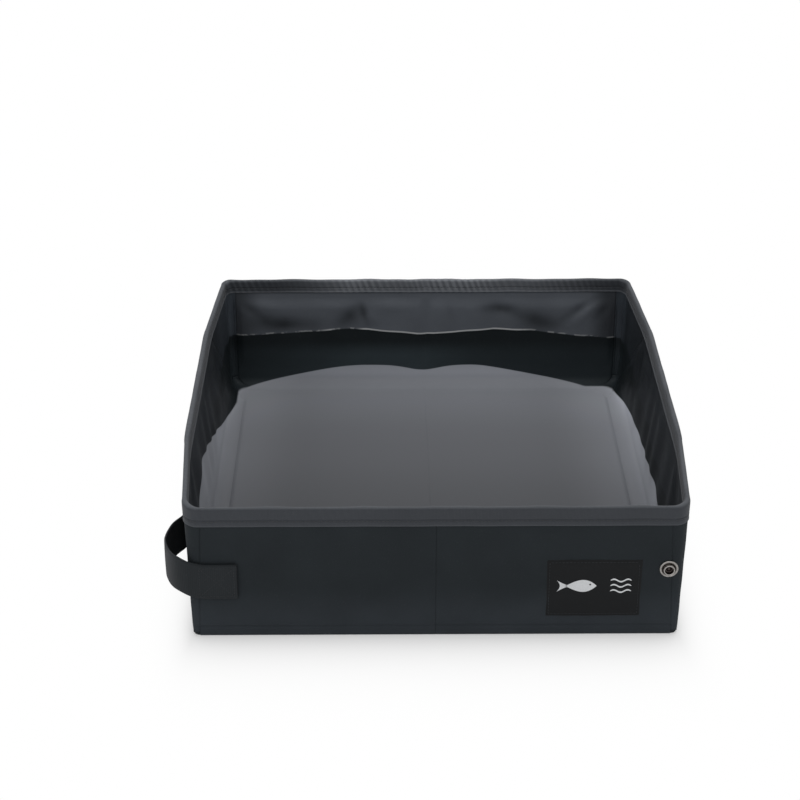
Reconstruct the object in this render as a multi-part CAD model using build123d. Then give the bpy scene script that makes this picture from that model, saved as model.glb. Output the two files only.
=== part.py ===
from build123d import *
import math
import os

# Driving sizes of the open tray, in millimetres. X runs to the right, Y to the rear, Z up.
base_width = 392.0  # outside the base, left to right
base_depth = 440.0  # outside the walls, front to rear
tray_height = 120.0  # ground to the top of the rim tape
side_lean = 5.7  # degrees that each side wall leans out
corner_flare = 3.0  # how far each rim corner stands out past the base
corner_panel = 6.0  # soft strip of each front and rear corner, outside the boards
corner_round = 4.0

# Layers of every wall and of the base
outer_cloth = 0.7
board = 2.0
lining = 0.5
gusset = 1.2  # outer cloth and lining of an unboarded corner, bonded
tape = 0.7
tape_depth = 16.5
hem = 3.5  # sewn margin round each board
board_play = 0.2
board_corner = 3.0
tape_round = 1.2

# Gaps at the creases and over folded layers
crease_gap = 0.3  # each side of the crease that splits the tray in two
crease_slack = 1.3  # from a side wall's foot to the front or rear kerb
seam_gap = 0.2
fold_clearance = 0.3
crease_edge_gap = 0.5  # between a side wall's slanted edge and its corner gusset
overrun = 5.0  # extra length of every cutting tool

# Base
base_corner = 6.0

# Label patch on the front
label_width = 76.0
label_height = 53.0
label_thickness = 0.8
label_corner = 4.0
label_from_end = 32.0  # its right edge to the corner of the base
label_low = 18.0

# Press stud: socket on the front, stud and cap on the strap
stud_from_end = 11.0  # socket's centre to the corner of the base
socket_height = 62.5
flange_radius = 7.5
flange_thickness = 0.5
ring_radius = 6.3
ring_height = 2.1
ring_round = 0.9
eye_radius = 3.1
rivet_radius = 1.6
back_cap_radius = 6.5
back_cap_thickness = 0.6
rivet_play = 0.15
stud_flange_radius = 5.0
stud_neck_radius = 2.0
stud_bulb_radius = 2.5
stud_bulb_height = 1.8
stud_height = 3.0
cap_radius = 7.5
cap_height = 1.8

# Webbing strap
strap_width = 32.0
strap_thickness = 1.6
strap_low = 37.0
strap_patch = 34.0  # sewn length on the front
strap_start = 1.9  # hinge line of the strap, outside the front corner seam's board
strap_bow = 27.5  # how far the free strap stands out past its hinge line
strap_reach = 150.0  # how far to the rear its tip lies
strap_tip_fold = 18.0
strap_corner_bend = 5.0
strap_bend_share = 0.2  # radius of the bends in the bow, of the reach
strap_bow_shares = ((0.25, 0.0), (1.0, 0.2), (0.9, 0.33))  # of the bow and the reach
strap_return_share = 0.58  # of the reach, where it is back beside the wall
stud_from_tip = 14.0

# Worked-out sizes
wall = lining + board + outer_cloth
half_width = base_width / 2
half_depth = base_depth / 2
lean = math.radians(side_lean)
rim_z = tray_height - tape
floor_z = wall
side_pivot_x = half_width - wall
side_pivot_z = floor_z + tape + fold_clearance
front_pivot_y = half_depth - wall
front_pivot_z = side_pivot_z + wall + gusset + tape + seam_gap
side_kerb_z = side_pivot_z - wall * math.sin(lean) - seam_gap
front_kerb_z = front_pivot_z - seam_gap
panel_end = half_width - corner_panel
front_top = rim_z - front_pivot_z
side_top = (rim_z - side_pivot_z) / math.cos(lean)
side_foot = front_pivot_y - crease_slack


# Planes of the front and right walls: x along the wall, y up it, z out of the tray
front_plane = Plane(
    origin=(0, -front_pivot_y, front_pivot_z), x_dir=(1, 0, 0), z_dir=(0, -1, 0)
)
side_plane = Plane(
    origin=(side_pivot_x, 0, side_pivot_z),
    x_dir=(0, 1, 0),
    z_dir=(math.cos(lean), 0, -math.sin(lean)),
)


def face_of(points):
    """A flat face with straight edges."""
    return make_face(Polyline(*points, close=True))


def slab(plane, outline, low, high):
    """A plate over an outline, between two depths of the wall."""
    return plane * Pos(0, 0, low) * extrude(outline, high - low)


def inset(outline, margin, radius=0.0):
    """An outline drawn in by a margin, with rounded corners where a radius is given."""
    inner = offset(outline, -margin, kind=Kind.INTERSECTION)
    return fillet(inner.vertices(), radius) if radius else inner


def outer_pan(plane, outline):
    """Outer cloth with its sewn margins turned round the board."""
    pocket = slab(plane, inset(outline, hem), lining - overrun, lining + board)
    return slab(plane, outline, lining, wall) - pocket


def stiffener(plane, outline):
    """Board inside the sewn margins."""
    return slab(plane, inset(outline, hem + board_play, board_corner), lining, lining + board)


def lining_sheet(plane, outline):
    """Waterproof lining over the inner face."""
    return slab(plane, outline, 0, lining)


def rim_tape(plane, band, solid_wall, thickness):
    """Tape folded over the rim: a channel with rounded top edges."""
    channel = slab(plane, band, -tape, thickness + tape)
    top = plane.y_dir
    edges = channel.faces().sort_by(Axis((0, 0, 0), top))[-1].edges()
    across = [e for e in edges if abs(e.tangent_at(0.5).dot(plane.x_dir)) > math.cos(lean)]
    return fillet(across, tape_round) - solid_wall


def front_outline():
    return face_of(
        [(crease_gap, 0), (panel_end, 0), (panel_end, front_top), (crease_gap, front_top)]
    )


def front_band():
    low, high = front_top - tape_depth, front_top + tape
    return face_of([(crease_gap, low), (panel_end, low), (panel_end, high), (crease_gap, high)])


def side_outline():
    top = side_foot - side_top
    return face_of([(-side_foot, 0), (side_foot, 0), (top, side_top), (-top, side_top)])


def side_band():
    low, high = side_top - tape_depth, side_top + tape
    wide, narrow = side_foot - low, side_foot - high
    return face_of([(-wide, low), (wide, low), (narrow, high), (-narrow, high)])


def wall_pieces(plane, outline, band):
    """Outer cloth, board, lining and rim tape of one boarded wall."""
    solid_wall = slab(plane, outline, 0, wall)
    return {
        "outer": outer_pan(plane, outline),
        "board": stiffener(plane, outline),
        "lining": lining_sheet(plane, outline),
        "rim_tape": rim_tape(plane, band, solid_wall, wall),
    }


def base_sheet(edge, crease, radius):
    """Right half of the base in plan, drawn in from its outer edges and from the crease."""
    near, far = crease_gap + crease, half_width - edge
    end = half_depth - edge
    outline = face_of([(near, -end), (far, -end), (far, end), (near, end)])
    outer = [v for v in outline.vertices() if v.X > half_width / 2]
    return fillet(outer, radius)


def base_pieces():
    """Right half of the base: cloth pan with its low kerb, board and floor lining."""
    ground = Plane.XY
    board_top = outer_cloth + board
    inner = base_sheet(wall, 0, board_corner)
    cloth = slab(ground, base_sheet(0, 0, base_corner), 0, side_kerb_z)
    cloth -= slab(ground, inner, board_top, side_kerb_z + overrun)
    cloth -= slab(ground, base_sheet(wall, hem, board_corner), outer_cloth, side_kerb_z)
    play = board_play
    stiff = slab(ground, base_sheet(wall + play, hem + play, board_corner), outer_cloth, board_top)
    floor = slab(ground, inner, board_top, wall)
    return {"base_cloth": cloth, "base_board": stiff, "floor_lining": floor}


def foot_band():
    """Sewn band on the kerb of the base, along the foot of the front wall's right half."""
    low = (Align.MIN, Align.MIN, Align.MIN)
    band = Box(panel_end - crease_gap, wall, front_kerb_z - side_kerb_z, align=low)
    return Pos(crease_gap, -half_depth, side_kerb_z) * band


def corner_points():
    """Outer points of the front right gusset: bottom corner, crease foot, crease top, rim corner."""
    foot_u = side_foot + crease_edge_gap * math.sqrt(2)
    bottom = Vector(half_width, -half_depth, side_pivot_z)
    foot = side_plane.from_local_coords(Vector(-foot_u, 0, wall))
    crease_top = side_plane.from_local_coords(Vector(side_top - foot_u, side_top, wall))
    rim_corner = Vector(half_width + corner_flare, -half_depth, rim_z)
    return bottom, foot, crease_top, rim_corner


def corner_solid(thickness, low_z, high_z):
    """The gusset's bent sheet: round the corner from the front panel to the slanted crease.

    An L with a rounded corner, drawn at the foot, is carried up along the leaning corner
    line, then cut level, along the front panel's end and along the crease.
    """
    bottom, foot, crease_top, rim_corner = corner_points()
    run = Vector(crease_top.X - rim_corner.X, crease_top.Y - rim_corner.Y, 0).normalized()
    half = gusset / 2
    along = half * (1 - run.X) / run.Y
    bend = Vector(bottom.X - half * run.Y + along * run.X, bottom.Y + half, bottom.Z)
    start = Vector(panel_end - overrun, bend.Y, bend.Z)
    end = bend + run * (side_top + overrun)
    sheet = trace(FilletPolyline(start, bend, end, radius=corner_round), thickness)
    up = rim_corner - bottom
    solid = extrude(sheet, up.length + 2 * tape, dir=up.normalized())
    solid += extrude(sheet, tape, dir=-up.normalized())
    reach = 2 * tray_height
    keep = Pos(panel_end + seam_gap, -half_depth - reach / 2, low_z) * Box(
        reach, reach + side_top + overrun, high_z - low_z, align=(Align.MIN, Align.MIN, Align.MIN)
    )
    crease = (crease_top - foot).normalized()
    outward = crease.cross(run).cross(crease).normalized()
    beyond = Plane(origin=foot, x_dir=crease, z_dir=outward) * Box(
        reach * 2, reach, reach, align=(Align.CENTER, Align.CENTER, Align.MIN)
    )
    return (solid & keep) - beyond


def corner_pieces():
    """Front right gusset and its rim tape."""
    cloth = corner_solid(gusset, side_pivot_z, rim_z)
    over = corner_solid(gusset + 2 * tape, rim_z - tape_depth, tray_height)
    return {"gusset": cloth, "gusset_tape": over - cloth}


def rivet_hole(plane, u, v, radius):
    return plane * Pos(u, v, wall / 2) * Cylinder(radius, wall + 2 * overrun)


def press_socket():
    """Flange, raised ring with its eye, and the rivet down to the back, on z = 0."""
    low = (Align.CENTER, Align.CENTER, Align.MIN)
    ring = Cylinder(ring_radius, ring_height, align=low)
    ring = fillet(ring.faces().sort_by(Axis.Z)[-1].edges(), ring_round)
    eye = Pos(0, 0, flange_thickness) * Cylinder(eye_radius, ring_height, align=low)
    flange = Cylinder(flange_radius, flange_thickness, align=low)
    rivet = Pos(0, 0, -wall) * Cylinder(rivet_radius, wall, align=low)
    return flange + ring + rivet - eye


def back_cap():
    """Thin washer cap of the socket on the lining, below z = 0."""
    high = (Align.CENTER, Align.CENTER, Align.MAX)
    disc = Cylinder(back_cap_radius, back_cap_thickness, align=high)
    return fillet(disc.faces().sort_by(Axis.Z)[0].edges(), back_cap_thickness / 2)


def strap_stud():
    """Stud with its flange on z = 0, its neck and its rounded bulb."""
    low = (Align.CENTER, Align.CENTER, Align.MIN)
    bulb = Cylinder(stud_bulb_radius, stud_bulb_height, align=low)
    bulb = fillet(bulb.edges().filter_by(GeomType.CIRCLE), stud_bulb_height * 0.4)
    bulb = Pos(0, 0, stud_height - stud_bulb_height) * bulb
    neck = Cylinder(stud_neck_radius, stud_height - stud_bulb_height / 2, align=low)
    flange = Cylinder(stud_flange_radius, flange_thickness, align=low)
    return flange + neck + bulb


def stud_cap():
    """Domed cap on the outer face of the strap, with the rivet, on z = 0."""
    low = (Align.CENTER, Align.CENTER, Align.MIN)
    dome = Cylinder(cap_radius, cap_height, align=low)
    dome = fillet(dome.faces().sort_by(Axis.Z)[-1].edges(), cap_height * 0.8)
    rivet_length = 2 * strap_thickness
    rivet = Pos(0, 0, -rivet_length) * Cylinder(rivet_radius, rivet_length, align=low)
    return dome + rivet


def side_face_x(z):
    """How far out the side wall's outer face stands at a height."""
    return side_pivot_x + (z - side_pivot_z) * math.tan(lean) + wall / math.cos(lean)


strap_mid_z = strap_low + strap_width / 2
strap_hinge_x = panel_end + strap_start + strap_thickness / 2
strap_line_y = -half_depth - strap_thickness / 2 - seam_gap / 2
strap_end_x = side_face_x(strap_mid_z) + fold_clearance + stud_height + strap_thickness / 2


def strap_route():
    """Middle line of the free strap in plan, on the left side of the tray."""
    points = [(-strap_hinge_x, strap_line_y)]
    for out, back in strap_bow_shares:
        points.append((-strap_hinge_x - out * strap_bow, strap_line_y + back * strap_reach))
    points.append((-strap_end_x, strap_line_y + strap_return_share * strap_reach))
    points.append((-strap_end_x, strap_line_y + strap_reach))
    bow_bend = strap_bend_share * strap_reach
    bends = [strap_corner_bend, bow_bend, bow_bend, bow_bend]
    return FilletPolyline(*points, radius=bends)


def strap_pieces():
    """Free strap with its folded tip, stud and cap, and the end sewn to the front."""
    band = trace(strap_route(), strap_thickness)
    knuckle = Pos(-strap_hinge_x, strap_line_y) * Circle(strap_thickness / 2)
    webbing = Pos(0, 0, strap_low) * extrude(band + knuckle, strap_width)
    tip_y = strap_line_y + strap_reach
    fold = Box(strap_thickness, strap_tip_fold, strap_width, align=(Align.MAX, Align.MAX, Align.MIN))
    webbing += Pos(-strap_end_x - strap_thickness / 2, tip_y, strap_low) * fold
    stud_y = tip_y - stud_from_tip
    inward = Plane(
        origin=(-strap_end_x + strap_thickness / 2, stud_y, strap_mid_z),
        x_dir=(0, 1, 0),
        z_dir=(1, 0, 0),
    )
    outward = Plane(
        origin=(-strap_end_x - 1.5 * strap_thickness, stud_y, strap_mid_z),
        x_dir=(0, 1, 0),
        z_dir=(-1, 0, 0),
    )
    webbing -= outward * Cylinder(rivet_radius + rivet_play, 4 * overrun)
    patch = Box(strap_patch, strap_thickness, strap_width, align=(Align.MAX, Align.MAX, Align.MIN))
    sewn_right = -panel_end - strap_start + fold_clearance + strap_patch
    return {
        "strap_webbing": webbing,
        "strap_stud": inward * strap_stud(),
        "strap_cap": outward * stud_cap(),
        "strap_sewn_end": Pos(sewn_right, -half_depth, strap_low) * patch,
    }


def mirrored(shape, left, rear):
    """A front right shape carried to another corner of the tray."""
    if left:
        shape = mirror(shape, about=Plane.YZ)
    if rear:
        shape = mirror(shape, about=Plane.XZ)
    return shape


pieces = {}

# The two halves of the base, either side of the centre crease
for name, shape in base_pieces().items():
    pieces[f"{name}_right"] = shape
    pieces[f"{name}_left"] = mirrored(shape, True, False)

# Side walls, boarded between their slanted creases
for name, shape in wall_pieces(side_plane, side_outline(), side_band()).items():
    pieces[f"right_wall_{name}"] = shape
    pieces[f"left_wall_{name}"] = mirrored(shape, True, False)

# Front and rear walls, each in two boarded halves, and the four folding corners
front_half = wall_pieces(front_plane, front_outline(), front_band())
corner = corner_pieces()
band = foot_band()
for end in ("front", "rear"):
    for side in ("right", "left"):
        place = (side == "left", end == "rear")
        pieces[f"{end}_foot_band_{side}"] = mirrored(band, *place)
        for name, shape in front_half.items():
            pieces[f"{end}_wall_{name}_{side}"] = mirrored(shape, *place)
        for name, shape in corner.items():
            pieces[f"{name}_{end}_{side}"] = mirrored(shape, *place)

# Label patch on the right half of the front
label = RectangleRounded(label_width, label_height, label_corner)
label_u = half_width - label_from_end - label_width / 2
label_v = label_low + label_height / 2 - front_pivot_z
pieces["label_patch"] = slab(front_plane, Pos(label_u, label_v) * label, wall, wall + label_thickness)

# Press-stud socket at the right end of the front, through cloth, board and lining
socket_u, socket_v = half_width - stud_from_end, socket_height - front_pivot_z
for layer in ("outer", "board", "lining"):
    node = f"front_wall_{layer}_right"
    pieces[node] -= rivet_hole(front_plane, socket_u, socket_v, rivet_radius + rivet_play)
pieces["snap_socket"] = front_plane * Pos(socket_u, socket_v, wall) * press_socket()
pieces["snap_socket_back"] = front_plane * Pos(socket_u, socket_v, 0) * back_cap()

# Strap at the front left corner
pieces.update(strap_pieces())


def write_piece(name, shape):
    """One STEP file for a piece."""
    solids = shape.solids()
    whole = solids[0] if len(solids) == 1 else Compound(children=list(solids))
    export_step(whole, f"parts/{name}.step")


os.makedirs("parts", exist_ok=True)
for name, shape in pieces.items():
    write_piece(name, shape)
print(len(pieces), "nodes")
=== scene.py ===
"""Cloth, tapes, linings, webbing and fittings of a folding cloth tray, laid over its solid frame.

Sizes are metres in the settings and millimetres inside the shape functions.
x runs to the right, y to the rear and z up. The front is at y = -half_depth.
Shapes are worked out for the front right quarter and mirrored to the other three.
"""

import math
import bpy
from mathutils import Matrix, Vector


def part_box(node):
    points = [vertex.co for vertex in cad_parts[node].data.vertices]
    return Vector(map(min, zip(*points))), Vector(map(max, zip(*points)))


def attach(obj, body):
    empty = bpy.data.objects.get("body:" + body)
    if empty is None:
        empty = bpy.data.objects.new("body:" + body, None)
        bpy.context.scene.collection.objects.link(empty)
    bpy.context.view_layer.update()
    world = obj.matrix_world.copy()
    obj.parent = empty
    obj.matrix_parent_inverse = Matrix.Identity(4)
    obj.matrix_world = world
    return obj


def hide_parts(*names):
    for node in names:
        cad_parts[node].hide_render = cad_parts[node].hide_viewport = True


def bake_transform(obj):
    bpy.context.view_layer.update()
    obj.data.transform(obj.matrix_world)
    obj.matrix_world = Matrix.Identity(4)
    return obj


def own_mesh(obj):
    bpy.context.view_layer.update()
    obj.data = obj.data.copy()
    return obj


bl_info = {
    "name": "Folding Cloth Tray",
    "version": (1, 0, 0),
    "blender": (4, 5, 0),
    "location": "View3D > Sidebar > Cloth Tray",
    "description": "Builds the cloth, tapes, linings, webbing and fittings of a folding tray",
    "category": "Add Mesh",
}

from types import SimpleNamespace

import bpy
import numpy as np
from bpy.props import FloatProperty, FloatVectorProperty, PointerProperty

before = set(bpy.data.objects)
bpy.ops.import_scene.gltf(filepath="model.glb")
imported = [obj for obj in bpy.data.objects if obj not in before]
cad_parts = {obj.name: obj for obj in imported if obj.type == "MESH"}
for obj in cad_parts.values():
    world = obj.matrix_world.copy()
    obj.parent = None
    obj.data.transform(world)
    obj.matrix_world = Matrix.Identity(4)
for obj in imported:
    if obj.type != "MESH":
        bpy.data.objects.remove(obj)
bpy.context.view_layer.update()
MM = 0.001
RIGHT, LEFT, FRONT, REAR = 1, -1, 1, -1
SIDES = (("right", RIGHT), ("left", LEFT))
ENDS = (("front", FRONT), ("rear", REAR))


def length(name, note, value):
    """A length setting in metres."""
    return FloatProperty(name=name, description=note, default=value, unit="LENGTH", precision=5)


def tilt(name, note, degrees):
    """An angle setting."""
    return FloatProperty(name=name, description=note, default=math.radians(degrees), subtype="ANGLE")


def tint(name, note, value):
    """A colour setting."""
    return FloatVectorProperty(
        name=name, description=note, default=value, subtype="COLOR", size=3, min=0, max=1
    )


class TraySizes(bpy.types.PropertyGroup):
    """Sizes of the tray's shell."""

    foot_half_width: length("Foot half width", "Centre to side at the foot", 0.196)
    half_depth: length("Half depth", "Centre to the front or rear face", 0.220)
    fold_height: length("Side fold height", "Height of the side walls' fold", 0.0042)
    rim_height: length("Rim height", "Top of the walls under the tape", 0.1193)
    wall: length("Wall thickness", "Cloth, board and lining together", 0.0032)
    corner_flare: length("Corner flare", "How far the corner leans out at the rim", 0.003)
    panel_end: length("Panel end", "Centre to the end of a front board", 0.190)
    crease_gap: length("Crease gap", "Half the gap of the centre crease", 0.00001)
    crease_roll: length("Crease roll", "Radius of the cloth at the centre crease", 0.00045)
    front_round: length("Front corner round", "How much wider the front corners are at the rim", 0.008)
    rear_round: length("Rear corner round", "How much wider the rear corners are at the rim", 0.0035)
    cove: length("Floor cove", "Inset where the lining meets the floor", 0.014)
    floor_height: length("Floor height", "Top of the floor lining", 0.0032)
    lean: tilt("Side lean", "How far the side walls lean out", 5.7)


class TapeSizes(bpy.types.PropertyGroup):
    """Sizes of the tape over the rim and of its sewing."""

    drop: length("Tape drop", "How far the tape comes down outside the wall", 0.0165)
    inner_drop: length("Inner drop", "How far the tape comes down inside the wall", 0.0125)
    step_down: length("Inner step", "Upper edge of the lower fold inside, below the rim", 0.0074)
    outer_step: length("Outer step", "Upper edge of the lower fold outside, below the rim", 0.0103)
    thickness: length("Tape thickness", "Thickness of the folded tape", 0.0007)
    stitch_rise: length("Stitch rise", "Stitch row above the tape's edge", 0.0048)
    stitch_pitch: length("Stitch pitch", "Length of a stitch with its gap", 0.0032)
    stitch_length: length("Stitch length", "Visible length of a stitch", 0.0024)
    thread: length("Thread", "Thickness of the sewing thread", 0.00045)
    pucker: length("Pucker", "Depth of the tape's gathers on the rear wall", 0.0011)
    gather_pitch: length("Gather pitch", "Distance between the tape's gathers", 0.0062)


class FittingSizes(bpy.types.PropertyGroup):
    """Sizes of the label, the strap and the press stud."""

    label_left: length("Label left", "Left edge of the label", 0.088)
    label_right: length("Label right", "Right edge of the label", 0.164)
    label_low: length("Label low", "Lower edge of the label", 0.018)
    label_high: length("Label high", "Upper edge of the label", 0.071)
    socket_x: length("Socket place", "Centre of the press-stud socket", 0.185)
    socket_z: length("Socket height", "Height of the socket's centre", 0.0625)
    strap_width: length("Strap width", "Width of the webbing", 0.032)
    strap_thickness: length("Strap thickness", "Thickness of the webbing", 0.0016)
    strap_low: length("Strap low edge", "Height of the strap's lower edge", 0.037)
    strap_lift: length("Strap lift", "How much the strap rises round the corner", 0.005)


class TrayColours(bpy.types.PropertyGroup):
    """Colours of the tray's materials."""

    cloth: tint("Outer cloth", "Woven cloth outside", (0.0170, 0.0210, 0.0242))
    # Painted light: the outer cloth's paler colour near the ground stands in for light thrown up by the
    # floor
    cloth_low: tint("Outer cloth, foot", "Woven cloth near the ground", (0.0290, 0.0345, 0.0405))
    tape: tint("Rim tape", "Grosgrain tape over the rim", (0.0268, 0.0302, 0.0364))
    # Painted highlight: the paler colour on the tape's gather tops, rim top and lower edges, and painted
    # reflection on the middle of the rear tape
    tape_highlight: tint("Worn tape", "Tops of the tape's gathers", (0.1600, 0.1700, 0.1870))
    # Painted sheen: the end walls' upper lining is a much paler copy of the same cloth that lines the sides
    # and corners
    lining_rear: tint("Lining, ends", "Upper lining of front and rear walls", (0.1130, 0.1240, 0.1420))
    lining_side: tint("Lining, sides", "Upper lining of sides and corners", (0.0120, 0.0142, 0.0170))
    # Painted reflection: the near-black band below the glint line; painted shade also darkens hollows
    # towards it
    lining_low: tint("Lining, low", "Lower part of every wall lining", (0.0056, 0.0074, 0.0084))
    # Painted reflection: the grey over the floor sheet and up the walls' feet, not the lining's own colour
    floor: tint("Floor lining", "Coated floor sheet", (0.1020, 0.1060, 0.1160))
    # Painted glint: the pale broken line round the walls at mid height, over the painted dark band
    crease: tint("Lining crease", "Pale crease of the lining", (0.4700, 0.4800, 0.4850))
    webbing: tint("Webbing", "Strap", (0.0135, 0.0162, 0.0185))
    # Painted highlight: the strap is painted paler where it bends round the corner
    webbing_pale: tint("Webbing, bow", "Strap where it bends round the corner", (0.0290, 0.0310, 0.0345))
    thread: tint("Thread", "Sewing thread", (0.0300, 0.0320, 0.0340))
    dark_thread: tint("Dark thread", "Sewing thread of the strap", (0.0270, 0.0295, 0.0325))
    label: tint("Label cloth", "Sewn label", (0.0066, 0.0073, 0.0082))
    print: tint("Label print", "Printed design on the label", (0.6200, 0.6350, 0.6500))
    metal: tint("Nickel", "Press stud", (0.3300, 0.3150, 0.3000))
    board: tint("Board", "Stiffening board", (0.2600, 0.2600, 0.2600))


class StageSettings(bpy.types.PropertyGroup):
    """Camera, lamps and floor of the stage."""

    camera_place: FloatVectorProperty(
        name="Camera place",
        description="Where the camera stands",
        default=(-0.0382, -1.5228, 0.893),
        subtype="TRANSLATION",
        size=3,
    )
    camera_down: tilt("Camera pitch", "How far the camera looks down", 27.515)
    camera_turn: tilt("Camera turn", "How far the camera looks to the right", 0.42)
    lens: FloatProperty(
        name="Lens", description="Focal length for a 36 mm sensor", default=87.25, unit="CAMERA"
    )
    key_power: FloatProperty(
        name="Overhead power", description="Large softbox above", default=34.0, unit="POWER"
    )
    fill_power: FloatProperty(
        name="Front power", description="Softbox in front", default=9.0, unit="POWER"
    )
    room: FloatProperty(name="Room light", description="Light of the pale room", default=0.62)


def sizes(group, end=FRONT):
    """The settings of one group in millimetres, with angles left as they are.

    The shell's settings also get the corner's widening at the rim of the given end.
    """
    names = type(group).bl_rna.properties.keys()
    found = {n: getattr(group, n) for n in names if n not in ("rna_type", "name")}
    found = SimpleNamespace(**{n: v if n == "lean" else v / MM for n, v in found.items()})
    if hasattr(found, "front_round"):
        found.rim_round = found.front_round if end == FRONT else found.rear_round
    return found


# Shapes of the tray's shell

# The gusset's crease: how far from the corner it starts at the foot, and its run from there to
# the rim
CREASE_START, CREASE_RUN = 3.8, 115.67
# Plan radius of a corner at the foot, its loss for each millimetre through the wall, and its
# gain for each millimetre into the cove
FOOT_RADIUS, RADIUS_LOSS, RADIUS_GAIN = 4.5, 0.4, 1.3
# Straight cloth between a panel's end and its corner's turn
CORNER_START = 1.5
# Plan point that a soft corner's cloth swells from
CORNER_CENTRE = np.array([150.0, -170.0])


def share_of_height(z, t):
    """0 at the side fold and below, rising evenly to 1 at the rim."""
    return np.clip((z - t.fold_height) / (t.rim_height - t.fold_height), 0, None)


def smooth_min(a, b, width):
    """The smaller of two values, rounded by a parabola where they are within one width."""
    h = np.clip(0.5 + 0.5 * (b - a) / width, 0, 1)
    return b + (a - b) * h - width * h * (1 - h)


def crease_y(z, t):
    """Distance from the centre to the gusset's diagonal crease: straight, from foot to rim."""
    return t.half_depth - CREASE_START - CREASE_RUN * share_of_height(z, t)


def corner_x(z, t):
    """Outer end of the front face: the foot's half width plus the flare times the height share."""
    return t.foot_half_width + t.corner_flare * share_of_height(z, t)


def side_x(y, z, t):
    """Outer side face: the leaning board, cut off near the corner by the flat gusset.

    Board: the fold's place, plus the rise times the lean's tangent, plus the wall's thickness
    over the lean's cosine. Gusset: a straight line in plan from the corner to the board at
    the diagonal crease.
    """
    rise = np.clip(z - t.fold_height, 0, None)
    board = t.foot_half_width - t.wall + rise * math.tan(t.lean) + t.wall / math.cos(t.lean)
    x_corner = corner_x(z, t)
    gusset = x_corner + (t.half_depth - np.abs(y)) * (board - x_corner) / (t.half_depth - crease_y(z, t))
    return smooth_min(board, gusset, width=1.0)


def corner_radius(z, inset, t, rim_round=None):
    """Plan radius: wider towards the rim and into the cove, narrower through the wall."""
    wider = t.rim_round if rim_round is None else rim_round
    inside, beyond = np.clip(inset, 0, t.wall), np.clip(inset - t.wall, 0, None)
    return FOOT_RADIUS + wider * share_of_height(z, t) - RADIUS_LOSS * inside + RADIUS_GAIN * beyond


def side_radius(z, inset, t, rim_round=None):
    """The corner's reach along the side: its plan radius, half as much again at the rim."""
    return corner_radius(z, inset, t, rim_round) * (1 + 0.5 * share_of_height(z, t))


def panel_stop(z, inset, t):
    """Where a front panel ends and its corner starts, a little before the corner turns."""
    return np.minimum(t.panel_end, corner_x(z, t) - inset - corner_radius(z, inset, t) - CORNER_START)


def side_stop(z, inset, t):
    """Where a side panel ends and its corner starts, the same at both ends."""
    return np.minimum(crease_y(z, t), t.half_depth - inset - side_radius(z, inset, t, t.front_round))


def front_points(share, z, inset, t, start):
    """Front face: x runs evenly from the crease to the panel's end, y is the depth less the inset."""
    x = start + share * (panel_stop(z, inset, t) - start)
    return np.stack([x, inset - t.half_depth + 0 * x, z + 0 * x], -1)


def side_points(share, z, inset, t):
    """Side face: y runs evenly between its two ends, x is the side face less the inset."""
    y = (2 * share - 1) * side_stop(z, inset, t)
    return np.stack([side_x(y, z, t) - inset, y, z + 0 * y], -1)


def corner_points(step, z, inset, t):
    """Corner: steps 0 to 1 straight on the front, 1 to 2 a quarter ellipse, 2 to 3 along the side."""
    radius, reach = corner_radius(z, inset, t), side_radius(z, inset, t)
    depth = t.half_depth - inset
    start, turn = panel_stop(z, inset, t), corner_x(z, t) - inset - radius
    y_arc = -(depth - reach)
    x_arc = side_x(y_arc, z, t) - inset
    angle = np.clip(step - 1, 0, 1) * np.pi / 2
    y_side = y_arc + np.clip(step - 2, 0, 1) * (-side_stop(z, inset, t) - y_arc)
    x = start + np.clip(step, 0, 1) * (turn - start) + (x_arc - turn) * np.sin(angle)
    x = np.where(step > 2, side_x(y_side, z, t) - inset, x)
    y = np.where(step > 2, y_side, -depth + reach * (1 - np.cos(angle)))
    return np.stack([x, y, z + 0 * x], -1)


def corner_steps(front, arc, side):
    """Steps from 0 to 3 with the given number of cells on each of the three parts."""
    return np.concatenate(
        [np.linspace(0, 1, front + 1)[:-1], np.linspace(1, 2, arc + 1)[:-1], np.linspace(2, 3, side + 1)]
    )


def ridge(u, v, start, end, width, height):
    """A soft ridge along a line: a bell curve of the distance to it, fading at both ends."""
    a, b = np.array(start, float), np.array(end, float)
    span = b - a
    along = ((u - a[0]) * span[0] + (v - a[1]) * span[1]) / (span @ span)
    near = np.clip(along, 0, 1)
    gap = np.hypot(u - a[0] - near * span[0], v - a[1] - near * span[1])
    return height * np.exp(-((gap / width) ** 2)) * (1 - 0.55 * np.abs(2 * near - 1))


def rolling(x, y, wave, shift):
    """Uneven swell: a sine of x and one of y, each with a wandering phase."""
    across = np.sin(2 * np.pi * x / wave + 1.7 * np.sin(2 * np.pi * x / (7.3 * wave)) + shift)
    along = np.sin(2 * np.pi * y / (1.1 * wave) + 1.3 * np.sin(2 * np.pi * y / (6.1 * wave)) + 2 * shift)
    return across + along


def bell(value, centre, width):
    """Bell curve of the distance from a centre."""
    return np.exp(-(((value - centre) / width) ** 2))


def smooth_step(value, low, high):
    """0 below low, 1 above high, an S between."""
    s = np.clip((value - low) / (high - low), 0, 1)
    return s * s * (3 - 2 * s)


def band(value, start, full, end, fade):
    """0 below start, 1 from full on and 0 above end, with an S on both flanks."""
    return smooth_step(value, start, full) * smooth_step(end - value, 0, fade)


def unit(vectors):
    """Vectors brought to length one."""
    return vectors / np.linalg.norm(vectors, axis=-1, keepdims=True)


def grids(along, inset, z):
    """Grids of the place along a wall, the inset and the height, from a row and a profile."""
    grid_along, grid_inset = np.meshgrid(along, inset, indexing="ij")
    return grid_along, grid_inset, np.broadcast_to(z, grid_along.shape)


# Mesh building

# Distance in metres under which doubled points are merged
WELD = 0.00001
STITCH_SIDES = 6


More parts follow.
